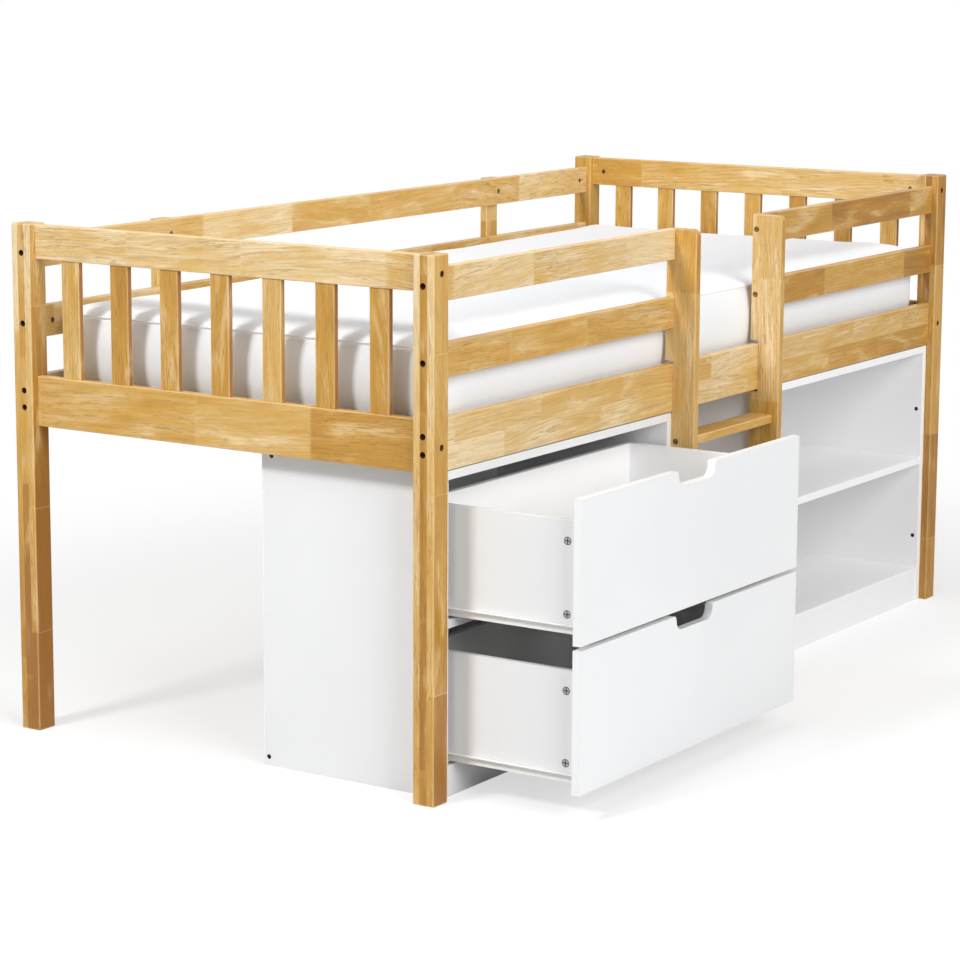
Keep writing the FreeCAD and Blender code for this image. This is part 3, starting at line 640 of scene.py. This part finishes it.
# How pale each pine board is, from 0 for deep amber to 1
# On the left posts the faces that look along Y are darkened, which is painted shade; every post gets darker
# towards its foot
POSTS = {
    "post_front_left": {"pale": 0.54, "paler_per_metre": 0.42, "edge": 0.3},
    "post_front_right": {"pale": 0.28, "paler_per_metre": 0.3, "edge": 0.0},
    "post_back_left": {"pale": 0.5, "paler_per_metre": 0.95, "edge": 0.55},
    "post_back_right": {"pale": 0.34, "paler_per_metre": 0.2, "edge": 0.0}}
LONG_BOARDS = {
    "side_rail_front": {"pale": 0.71, "paler_per_metre": -0.28, "wide_cells": {"strips": 2}},
    "side_rail_back": {"pale": 0.7, "wide_cells": {"strips": 2}},
    "guard_left_top_rail": {"pale": 0.88, "paler_per_metre": 0.4},
    "guard_left_mid_rail": {"pale": 0.5, "paler_per_metre": 0.12},
    "guard_right_top_rail": {"pale": 0.26},
    "guard_right_mid_rail": {"pale": 0.37},
    "guard_back_top_rail": {"pale": 0.71, "paler_per_metre": -0.1},
    "guard_back_mid_rail": {"pale": 0.6}}
END_BOARDS = {
    "near_end_top_rail": {"pale": 0.98},
    "near_end_bottom_rail": {"pale": 0.56},
    "far_end_top_rail": {"pale": 0.8, "paler_per_metre": -0.4},
    "far_end_bottom_rail": {"pale": 0.5}}


def dress_frame():
    """Every board, post and slat of the bed's pine frame, each with its own strips, joints and grain."""
    for seed, (name, looks) in enumerate(POSTS.items()):
        dress(name, pine(
            name, Z, Y, X, 3.1 + seed, wide_cells={"strips": 3}, heart=0.24, drilled=True, **looks))
    for seed, (name, looks) in enumerate(LONG_BOARDS.items()):
        dress(name, pine(name, X, Z, Y, 11.3 + seed, **looks))
    for seed, (name, looks) in enumerate(END_BOARDS.items()):
        dress(name, pine(name, Y, Z, X, 23.7 + seed, **looks))
    # The end slats' narrow sides are darkened, painted shade
    dress("end_slats", pine(
        "end_slats", Z, Y, X, 31.9, 0.42, wide_cells={"members": 7, "size": 0.042},
        thin_cells={"members": 2, "size": 0.012}, jointed=False, edge=0.5))
    dress("guard_back_uprights", pine(
        "guard_back_uprights", Z, X, Y, 37.3, 0.5, wide_cells={"members": 2, "size": 0.045}))
    dress("slat_ledgers", pine(
        "slat_ledgers", X, Z, Y, 41.1, 0.6, thin_cells={"members": 2, "size": 0.02}))
    dress("bed_slats", pine(
        "bed_slats", Y, X, Z, 43.9, 0.6, wide_cells={"members": 14, "size": 0.07}, jointed=False))
    # The stiles' narrow sides are darkened, painted shade
    dress("ladder_left_stile", pine("ladder_left_stile", Z, Y, X, 47.2, 0.72, edge=0.2))
    dress("ladder_right_stile", pine("ladder_right_stile", Z, Y, X, 49.6, 0.5, paler_per_metre=0.55, edge=0.24))
    dress("ladder_rungs", pine(
        "ladder_rungs", X, Y, Z, 53.4, 0.5, thin_cells={"members": 3, "size": 0.018}, jointed=False))


CHEST_BOARDS = (
    "chest_left_side", "chest_right_side", "chest_top", "chest_divider_rail", "chest_plinth_rails")
SHELF_BOARDS = (
    "shelf_left_side", "shelf_right_side", "shelf_top", "shelf_middle", "shelf_bottom", "shelf_plinth")
DRAWERS = ("upper", "lower")


def ease_arrises(name):
    """Takes the sharpness off a board's arrises, as its lacquer does."""
    board = nodes[name]
    weld = board.modifiers.new("Joined faces", "WELD")
    weld.merge_threshold = 0.00001
    ease = board.modifiers.new("Eased arrises", "BEVEL")
    ease.width = BOARD_ARRIS
    ease.segments = BOARD_ARRIS_STEPS
    ease.limit_method = "ANGLE"
    ease.angle_limit = math.radians(40)
    ease.harden_normals = False


def dress_units():
    """The white chest, its drawers and the shelf unit."""
    paints = {name: SHADED_CHEST_PAINTS for name in CHEST_BOARDS}
    paints.update({name: LIT_SHELF_PAINTS for name in SHELF_BOARDS})
    # The drawers' left sides take a shaded copy of the white, their right sides and backs a lit one
    for drawer in DRAWERS:
        paints[drawer + "_drawer_front"] = SHADED_CHEST_PAINTS
        paints[drawer + "_drawer_left_side"] = SHADED_DRAWER_LEFT_PAINTS
        paints[drawer + "_drawer_right_side"] = LIT_DRAWER_BACK_PAINTS
        paints[drawer + "_drawer_back"] = LIT_DRAWER_BACK_PAINTS
    for name, its_paints in paints.items():
        dress(name, white_board(name, its_paints))
        ease_arrises(name)
    hardboard = white_hardboard()
    for name in ("chest_back", "shelf_back", "upper_drawer_bottom", "lower_drawer_bottom"):
        dress(name, hardboard)


def dress_fittings():
    """Bolts, barrel nuts, runners, rollers and cams."""
    # The bolt heads are a near-black brown and barely metallic: dark steel, with the shade of their holes
    # painted on
    dress("bed_bolts", metal("dark_steel", paint(50, 24, 15), paint(24, 11, 7), 0.66, metallic=0.1))
    dress("barrel_nuts", metal("barrel_nut_steel", paint(132, 94, 54), paint(58, 36, 20), 0.5, metallic=0.5))
    runner = coated_runner()
    nylon = nylon_roller()
    dress("chest_runners", runner)
    for drawer in DRAWERS:
        dress(f"{drawer}_drawer_runners", runner)
        dress(f"{drawer}_drawer_cams", cam_metal(f"{drawer}_drawer_cams"))
        dress(f"{drawer}_fixed_rollers", nylon)
        dress(f"{drawer}_moving_rollers", nylon)


# Making pieces

def piece(name, mesh, material=None):
    """A mesh as an object of the scene, at the origin."""
    made = bpy.data.objects.new(name, mesh)
    bpy.context.scene.collection.objects.link(made)
    if material:
        mesh.materials.append(material)
    return made


def applied(thing):
    """A thing's mesh with its modifiers worked in."""
    graph = bpy.context.evaluated_depsgraph_get()
    return bpy.data.meshes.new_from_object(thing.evaluated_get(graph), depsgraph=graph)


def grow(name, points, tree, sizes, material, attributes=None):
    """Runs a geometry tree on points, and gives the result as a plain piece."""
    mesh = bpy.data.meshes.new(name)
    mesh.from_pydata([tuple(p) for p in points[0]], points[1], [])
    for title, (kind, values) in (attributes or {}).items():
        layer = mesh.attributes.new(title, kind, "POINT")
        field = "vector" if kind == "FLOAT_VECTOR" else "value"
        layer.data.foreach_set(field, values)
    seedling = piece(name + "_start", mesh)
    modifier = seedling.modifiers.new("Grow", "NODES")
    modifier.node_group = tree.tree
    for socket in tree.tree.interface.items_tree:
        if socket.in_out == "INPUT" and socket.name in sizes:
            modifier[socket.identifier] = sizes[socket.name]
        elif socket.in_out == "INPUT" and socket.name == "Material":
            modifier[socket.identifier] = material
    grown = applied(seedling)
    seedling.modifiers.clear()
    bpy.data.objects.remove(seedling)
    bpy.data.meshes.remove(mesh)
    grown.name = name
    return piece(name, grown)


class Grower(Tree):
    """A geometry node tree with named inputs for its sizes."""

    def __init__(self, name, sizes):
        super().__init__(bpy.data.node_groups.new(name, "GeometryNodeTree"))
        face = self.tree.interface
        face.new_socket(name="Geometry", in_out="INPUT", socket_type="NodeSocketGeometry")
        for title in sizes:
            face.new_socket(name=title, in_out="INPUT", socket_type="NodeSocketFloat")
        face.new_socket(name="Material", in_out="INPUT", socket_type="NodeSocketMaterial")
        face.new_socket(name="Geometry", in_out="OUTPUT", socket_type="NodeSocketGeometry")
        names = ("Geometry", *sizes, "Material")
        links = self.node("NodeGroupInput", output=names)
        self.given = dict(zip(names, links))

    def finish(self, geometry):
        """Ends the tree in Realize Instances and Set Material."""
        real = self.node("GeometryNodeRealizeInstances", {}, {"Geometry": geometry})
        done = self.node(
            "GeometryNodeSetMaterial", {}, {"Geometry": real, "Material": self.given["Material"]})
        self.node("NodeGroupOutput", {}, {"Geometry": done})


# Screws

def screw_tree():
    """Countersunk screws on points: a cone head with a cross recess, and a shank of each point's reach."""
    tree = Grower("countersunk_screws", ("Head radius", "Head height", "Shank radius", "Recess width"))
    head_radius, head_height = tree.given["Head radius"], tree.given["Head height"]
    shank_radius, recess = tree.given["Shank radius"], tree.given["Recess width"]
    cone = tree.node("GeometryNodeMeshCone", {"fill_type": "NGON"}, {
        "Vertices": HEAD_SIDES, "Radius Top": head_radius, "Radius Bottom": shank_radius,
        "Depth": head_height}, "Mesh")
    head = tree.node("GeometryNodeTransform", {}, {
        "Geometry": cone, "Translation": tree.vector(0.0, 0.0, head_height * -1.0)})
    slots = []
    for sizes in ((head_radius * 1.25, recess), (recess, head_radius * 1.25)):
        slot = tree.node(
            "GeometryNodeMeshCube", {}, {"Size": tree.vector(sizes[0], sizes[1], head_height * 1.1)}, "Mesh")
        slots.append(slot)
    head = tree.node(
        "GeometryNodeMeshBoolean", {"operation": "DIFFERENCE", "solver": "EXACT"},
        {"Mesh 1": head, "Mesh 2": slots}, "Mesh")
    facing = tree.node("GeometryNodeInputNamedAttribute", {"data_type": "FLOAT_VECTOR"}, {"Name": "facing"})
    reach = tree.node("GeometryNodeInputNamedAttribute", {"data_type": "FLOAT"}, {"Name": "reach"})
    turn = tree.node(
        "FunctionNodeRandomValue", {"data_type": "FLOAT"}, {2: 0.0, 3: math.tau, "Seed": 7}, 1)
    upright = tree.node("FunctionNodeAlignRotationToVector", {"axis": "Z"}, {"Vector": facing})
    about_itself = tree.node("FunctionNodeEulerToRotation", {}, {0: tree.vector(0.0, 0.0, turn)})
    turned = tree.node(
        "FunctionNodeRotateRotation", {"rotation_space": "LOCAL"},
        {"Rotation": upright, "Rotate By": about_itself})
    heads = tree.node("GeometryNodeInstanceOnPoints", {}, {
        "Points": tree.given["Geometry"], "Instance": head, "Rotation": turned})
    rod = tree.node("GeometryNodeMeshCylinder", {"fill_type": "NGON"}, {
        "Vertices": SHANK_SIDES, "Radius": shank_radius, "Depth": 1.0}, "Mesh")
    shank = tree.node("GeometryNodeTransform", {}, {"Geometry": rod, "Translation": (0.0, 0.0, -0.5)})
    shanks = tree.node("GeometryNodeInstanceOnPoints", {}, {
        "Points": tree.given["Geometry"], "Instance": shank, "Rotation": turned,
        "Scale": tree.vector(1.0, 1.0, reach)})
    dropped = tree.node("GeometryNodeTranslateInstances", {}, {
        "Instances": shanks, "Translation": tree.vector(0.0, 0.0, head_height * -0.98)})
    tree.finish(tree.node("GeometryNodeJoinGeometry", {}, {"Geometry": [heads, dropped]}))
    return tree


def frame_screw_places():
    """Brass screws of the ladder and the back uprights: where each head is, which way it faces, its reach."""
    places = []
    for height in GUARD_RAIL_MIDDLES:
        places.append(((0.172, -0.3265, height), (-1, 0, 0), STILE_SCREW))
        places.append(((-0.162, -0.3265, height), (1, 0, 0), STILE_SCREW))
    for height in RUNG_MIDDLES:
        places.append(((-0.18, -0.344, height), (-1, 0, 0), STILE_SCREW))
        places.append(((0.19, -0.344, height), (1, 0, 0), STILE_SCREW))
    for side in (-0.6, 0.6):
        for height in (*GUARD_RAIL_MIDDLES, SIDE_RAIL_SCREWS):
            places.append(((side, 0.5815, height), (0, -1, 0), UPRIGHT_SCREW))
    return places


def unit_screw_places():
    """Black screws of the chest and the shelf unit, and the ones that tie them to the stile and the post."""
    places = []
    chest_spots = (
        (UNIT_FRONT, UNIT_TOP_MIDDLE), (UNIT_BACK, UNIT_TOP_MIDDLE), (UNIT_FRONT, CHEST_RAIL_MIDDLE),
        (-0.3255, CHEST_PLINTH_SCREWS), (0.0555, CHEST_PLINTH_SCREWS))
    shelf_spots = [(y, z) for y in (UNIT_FRONT, UNIT_BACK) for z in (UNIT_TOP_MIDDLE, *SHELF_MIDDLES)]
    for ends, spots in (((-0.98, -0.18), chest_spots), ((0.19, 0.99), shelf_spots)):
        for side, way in zip(ends, (-1, 1)):
            for y, z in spots:
                places.append(((side, y, z), (way, 0, 0), BOARD_SCREW))
    for z in TIE_HEIGHTS:
        places.append(((0.974, -0.3205, z), (-1, 0, 0), TIE_SCREW))
        places.append(((-0.196, -0.3255, z), (-1, 0, 0), TIE_SCREW))
    return places


def drive_screws(name, places, material, node, tree):
    """One piece with every screw of a kind, in place of its CAD node."""
    sizes = {
        "Head radius": HEAD_RADIUS, "Head height": HEAD_HEIGHT,
        "Shank radius": SHANK_RADIUS, "Recess width": RECESS_WIDTH}
    facing = [part for _, way, _ in places for part in way]
    attributes = {
        "facing": ("FLOAT_VECTOR", [float(part) for part in facing]),
        "reach": ("FLOAT", [reach - HEAD_HEIGHT for _, _, reach in places])}
    screws = grow(name, ([place for place, _, _ in places], []), tree, sizes, material, attributes)
    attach(screws, "bed_frame")
    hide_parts(node)


def screw_shade_rings(name, places, material, tree):
    """A dark ring round each countersunk head, painted shade of the gap between the head and the wood."""
    points, edges = [], []
    for place, way, _ in places:
        out = Vector(way)
        across = Vector((out.y, out.z, out.x))
        up = out.cross(across)
        first = len(points)
        for step in range(RIM_STEPS):
            angle = math.tau * step / RIM_STEPS
            reach = (across * math.cos(angle) + up * math.sin(angle)) * RIM_RADIUS
            points.append(Vector(place) + reach - out * RIM_WIDTH * 0.5)
            edges.append((first + step, first + (step + 1) % RIM_STEPS))
    rims = grow(name, (points, edges), tree, {"Radius": RIM_WIDTH}, material)
    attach(rims, "bed_frame")


# Mattress

def round_over(shape, edges, radius, steps):
    """Rounds edges of a shape over."""
    bmesh.ops.bevel(
        shape, geom=edges, offset=radius, segments=steps, affect="EDGES", profile=0.5, clamp_overlap=True)


def cover_blank():
    """The cover before it is filled: a rounded block a little smaller than the mattress."""
    low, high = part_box("mattress")
    low = low + Vector((NEAR_END_GAP + COVER_INSET, COVER_INSET, COVER_FOOT))
    high = high - Vector((COVER_INSET,) * 3)
    shape = bmesh.new()
    bmesh.ops.create_cube(shape, size=1.0)
    for corner in shape.verts:
        corner.co = Vector(low[a] if corner.co[a] < 0 else high[a] for a in (X, Y, Z))
    upright = [e for e in shape.edges if abs(e.verts[0].co.z - e.verts[1].co.z) > TOP_EDGE]
    round_over(shape, upright, COVER_CORNER, 10)
    shape.normal_update()
    for level, radius, steps in ((high.z, TOP_EDGE, 7), (low.z, BOTTOM_EDGE, 4)):
        rim = [
            e for e in shape.edges
            if len({f.normal.z > 0.5 or f.normal.z < -0.5 for f in e.link_faces}) == 2
            and all(abs(v.co.z - level) < 0.0005 for v in e.verts)]
        round_over(shape, rim, radius, steps)
    mesh = bpy.data.meshes.new("mattress_blank")
    shape.to_mesh(mesh)
    shape.free()
    blank = piece("mattress_blank", mesh)
    grid = blank.modifiers.new("Even grid", "REMESH")
    grid.mode = "VOXEL"
    grid.voxel_size = COVER_GRID
    even = applied(blank)
    bpy.data.objects.remove(blank)
    return even


def piping_heights():
    """How high the cover's two seams run."""
    low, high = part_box("mattress")
    return high.z - TOP_PIPING_DROP, low.z + BOTTOM_PIPING_RISE


def fill_cover(blank):
    """Blows the cover up under a steady pressure, held at its two seams, and gives how each point moved."""
    cover = piece("mattress_filling", blank)
    seams = cover.vertex_groups.new(name="seams")
    for height in piping_heights():
        held = [v.index for v in blank.vertices if abs(v.co.z - height) < COVER_GRID * 0.55]
        seams.add(held, 1.0, "ADD")
    cloth = cover.modifiers.new("Filling", "CLOTH")
    cloth.point_cache.frame_start = 1
    cloth.point_cache.frame_end = FILL_FRAMES
    rules = cloth.settings
    rules.quality = 5
    rules.mass = 0.3
    rules.tension_stiffness = 12.0
    rules.compression_stiffness = 12.0
    rules.shear_stiffness = 5.0
    rules.bending_stiffness = 0.4
    rules.vertex_group_mass = "seams"
    rules.use_pressure = True
    rules.uniform_pressure_force = 4.0
    rules.effector_weights.gravity = 0.0
    for number in range(1, FILL_FRAMES + 1):
        bpy.context.scene.frame_set(number)
    filled = applied(cover)
    moves = [after.co - before.co for after, before in zip(filled.vertices, blank.vertices)]
    cover.modifiers.clear()
    bpy.context.scene.frame_set(1)
    bpy.data.objects.remove(cover)
    bpy.data.meshes.remove(filled)
    return moves


def shape_cover():
    """The mattress's filled cover, with a slightly uneven top and soft dents in its sides."""
    blank = cover_blank()
    moves = fill_cover(blank)
    low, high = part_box("mattress")
    for point, move in zip(blank.vertices, moves):
        if move.length > COVER_SWELL:
            move = move * (COVER_SWELL / move.length)
        place = point.co
        uneven = sum(noise.noise(place * turns) * depth for turns, depth in COVER_DENTS)
        spot = place + move + point.normal * uneven
        point.co = Vector(
            min(max(spot[a], low[a] + COVER_MARGIN), high[a] - COVER_MARGIN) for a in (X, Y, Z))
    blank.name = "mattress_cover"
    return blank


def seam_line(surface, height):
    """A closed line round the mattress on its surface at a height."""
    low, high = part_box("mattress")
    middle = (low + high) / 2
    half_x, half_y = (high.x - low.x) / 2, (high.y - low.y) / 2
    corner = COVER_CORNER
    straight_x, straight_y = 2 * (half_x - corner), 2 * (half_y - corner)
    bend = corner * math.pi / 2
    legs = (straight_x, bend, straight_y, bend) * 2
    starts = [sum(legs[:number]) for number in range(8)]
    centres = ((1, -1), (1, -1), (1, 1), (1, 1), (-1, 1), (-1, 1), (-1, -1), (-1, -1))
    points = []
    for step in range(SEAM_POINTS):
        far = sum(legs) * step / SEAM_POINTS
        leg = max(number for number in range(8) if starts[number] <= far)
        share = (far - starts[leg]) / legs[leg]
        side_x, side_y = centres[leg]
        centre = middle + Vector((side_x * (half_x - corner), side_y * (half_y - corner), 0))
        if leg % 2:
            angle = math.radians(-90 + 90 * (leg // 2) + 90 * share)
            out = Vector((math.cos(angle), math.sin(angle), 0))
            spot = centre + out * corner
        else:
            angle = math.radians(-90 + 90 * (leg // 2))
            out = Vector((math.cos(angle), math.sin(angle), 0))
            run = Vector((-out.y, out.x, 0))
            length = legs[leg]
            spot = centre + out * corner + run * (length * (share - 1.0))
        spot.z = height
        hit = surface.find_nearest(spot)[0]
        points.append(Vector((hit.x, hit.y, height)))
    for _ in range(SEAM_SMOOTHINGS):
        points = [
            (points[i - 1] + points[i] * 2 + points[(i + 1) % SEAM_POINTS]) / 4 for i in range(SEAM_POINTS)]
    return points


def piping_tree():
    """A round welt swept along a closed line."""
    tree = Grower("piping", ("Radius",))
    line = tree.node("GeometryNodeMeshToCurve", {}, {"Mesh": tree.given["Geometry"]})
    ring = tree.node(
        "GeometryNodeCurvePrimitiveCircle", {"mode": "RADIUS"},
        {"Resolution": 10, "Radius": tree.given["Radius"]}, "Curve")
    tube = tree.node("GeometryNodeCurveToMesh", {}, {"Curve": line, "Profile Curve": ring})
    smooth = tree.node("GeometryNodeSetShadeSmooth", {}, {"Geometry": tube})
    tree.finish(smooth)
    return tree


def make_mattress(tube):
    """The padded cover and its two lines of piping."""
    mesh = shape_cover()
    cover = piece("mattress_cover", mesh, mattress_fabric("mattress_knit", thread=0.0011))
    for face in mesh.polygons:
        face.use_smooth = True
    soften = cover.modifiers.new("Soft cover", "SUBSURF")
    soften.levels = 1
    soften.render_levels = 1
    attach(cover, "mattress")
    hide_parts("mattress")

    surface = BVHTree.FromPolygons([v.co for v in mesh.vertices], [tuple(f.vertices) for f in mesh.polygons])
    points, edges = [], []
    for height in piping_heights():
        line = seam_line(surface, height)
        first = len(points)
        points += line
        edges += [(first + i, first + (i + 1) % len(line)) for i in range(len(line))]
    piping = grow(
        "mattress_piping", (points, edges), tube, {"Radius": PIPING_RADIUS},
        mattress_fabric("piping_cloth", thread=0.0009))
    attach(piping, "mattress")


# Room, light and camera

def white_floor():
    """A pale floor that keeps the bed's shadow and goes to plain white away from it."""
    floor = Finish("studio_floor")
    x, y, z = floor.place()
    away = floor.node(
        "ShaderNodeVectorMath", {"operation": "LENGTH"}, {0: floor.vector(x * 0.8, y - 0.1, 0.0)}, "Value")
    seen = floor.node("ShaderNodeLightPath", output="Is Camera Ray")
    colour = floor.tint(grey(FLOOR_BOUNCE), grey(1.0), seen)
    plain = floor.node("ShaderNodeBsdfDiffuse", {}, {"Color": colour})
    white = floor.node("ShaderNodeEmission", {}, {"Color": grey(1.0), "Strength": 1.0})
    fading = floor.rise(away, FLOOR_WHITE_FROM, FLOOR_WHITE_TO)
    amount = (fading * (1.0 - FLOOR_WHITE_NEAR) + FLOOR_WHITE_NEAR) * seen
    floor.close(floor.node("ShaderNodeMixShader", {}, {0: amount, 1: plain, 2: white}))
    mesh = bpy.data.meshes.new("studio_floor")
    corners = [(x * FLOOR_REACH, y * FLOOR_REACH, 0) for x, y in ((-1, -1), (1, -1), (1, 1), (-1, 1))]
    mesh.from_pydata(corners, [], [(0, 1, 2, 3)])
    piece("studio_floor", mesh, floor.material)


def white_world():
    """Even light from all round, and plain white where the camera or a gloss looks past the bed."""
    world = bpy.data.worlds.new("studio")
    world.use_nodes = True
    bpy.context.scene.world = world
    tree = Tree(world.node_tree)
    tree.tree.nodes.clear()
    camera, glossy, clear = tree.node(
        "ShaderNodeLightPath", output=("Is Camera Ray", "Is Glossy Ray", "Is Transmission Ray"))
    looked_at = camera.math("MAXIMUM", glossy.math("MAXIMUM", clear))
    strength = looked_at * (1.0 - SKY_STRENGTH) + SKY_STRENGTH
    sky = tree.node("ShaderNodeBackground", {}, {"Color": grey(1.0), "Strength": strength})
    tree.node("ShaderNodeOutputWorld", {}, {"Surface": sky})


def softbox(name, azimuth, elevation, distance, size, power):
    """A square softbox aimed at the bed, placed by the side it stands on and its height."""
    box = bpy.data.lights.new(name, "AREA")
    box.shape = "SQUARE"
    box.size = size
    box.energy = power
    lamp = bpy.data.objects.new(name, box)
    bpy.context.scene.collection.objects.link(lamp)
    a, e = math.radians(azimuth), math.radians(elevation)
    out = Vector((math.sin(a) * math.cos(e), -math.cos(a) * math.cos(e), math.sin(e)))
    lamp.location = Vector(AIM) + out * distance
    lamp.rotation_mode = "QUATERNION"
    lamp.rotation_quaternion = (-out).to_track_quat("-Z", "Y")


def photo_camera():
    """The camera where the photograph was taken from."""
    data = bpy.data.cameras.new("photo_camera")
    data.lens = LENS
    data.sensor_width = SENSOR_WIDTH
    data.shift_x, data.shift_y = LENS_SHIFT
    data.clip_end = FARTHEST_SEEN
    level = math.cos(EYE_PITCH)
    forward = Vector((math.sin(EYE_YAW) * level, math.cos(EYE_YAW) * level, -math.sin(EYE_PITCH)))
    right = Vector((math.cos(EYE_YAW), -math.sin(EYE_YAW), 0))
    down = forward.cross(right)
    rolled_right = math.cos(EYE_ROLL) * right + math.sin(EYE_ROLL) * down
    rolled_up = math.sin(EYE_ROLL) * right - math.cos(EYE_ROLL) * down
    camera = bpy.data.objects.new("photo_camera", data)
    bpy.context.scene.collection.objects.link(camera)
    turn = Matrix((rolled_right, rolled_up, -forward)).transposed().to_4x4()
    camera.matrix_world = Matrix.Translation(EYE) @ turn
    bpy.context.scene.camera = camera


def make_scene():
    photo_camera()
    white_world()
    white_floor()
    for name, setting in SOFTBOXES.items():
        softbox(name, *setting)
    dress_frame()
    dress_units()
    dress_fittings()
    tube = piping_tree()
    make_mattress(tube)
    screws = screw_tree()
    brass = metal("brass_screw", paint(186, 146, 86), paint(122, 88, 48), 0.4, metallic=0.9)
    # Dark brown rings round the brass screws: painted shade
    screw_rim_shade = metal("scorched_rim", paint(96, 60, 28), paint(60, 36, 16), 0.7, metallic=0.0)
    black = metal("black_screw", paint(70, 70, 70), paint(34, 34, 34), 0.46, metallic=0.7)
    drive_screws("frame_screw_set", frame_screw_places(), brass, "frame_screws", screws)
    screw_shade_rings("frame_screw_rims", frame_screw_places(), screw_rim_shade, tube)
    drive_screws("unit_screw_set", unit_screw_places(), black, "unit_screws", screws)
    bpy.context.scene.view_settings.view_transform = "Standard"


make_scene()
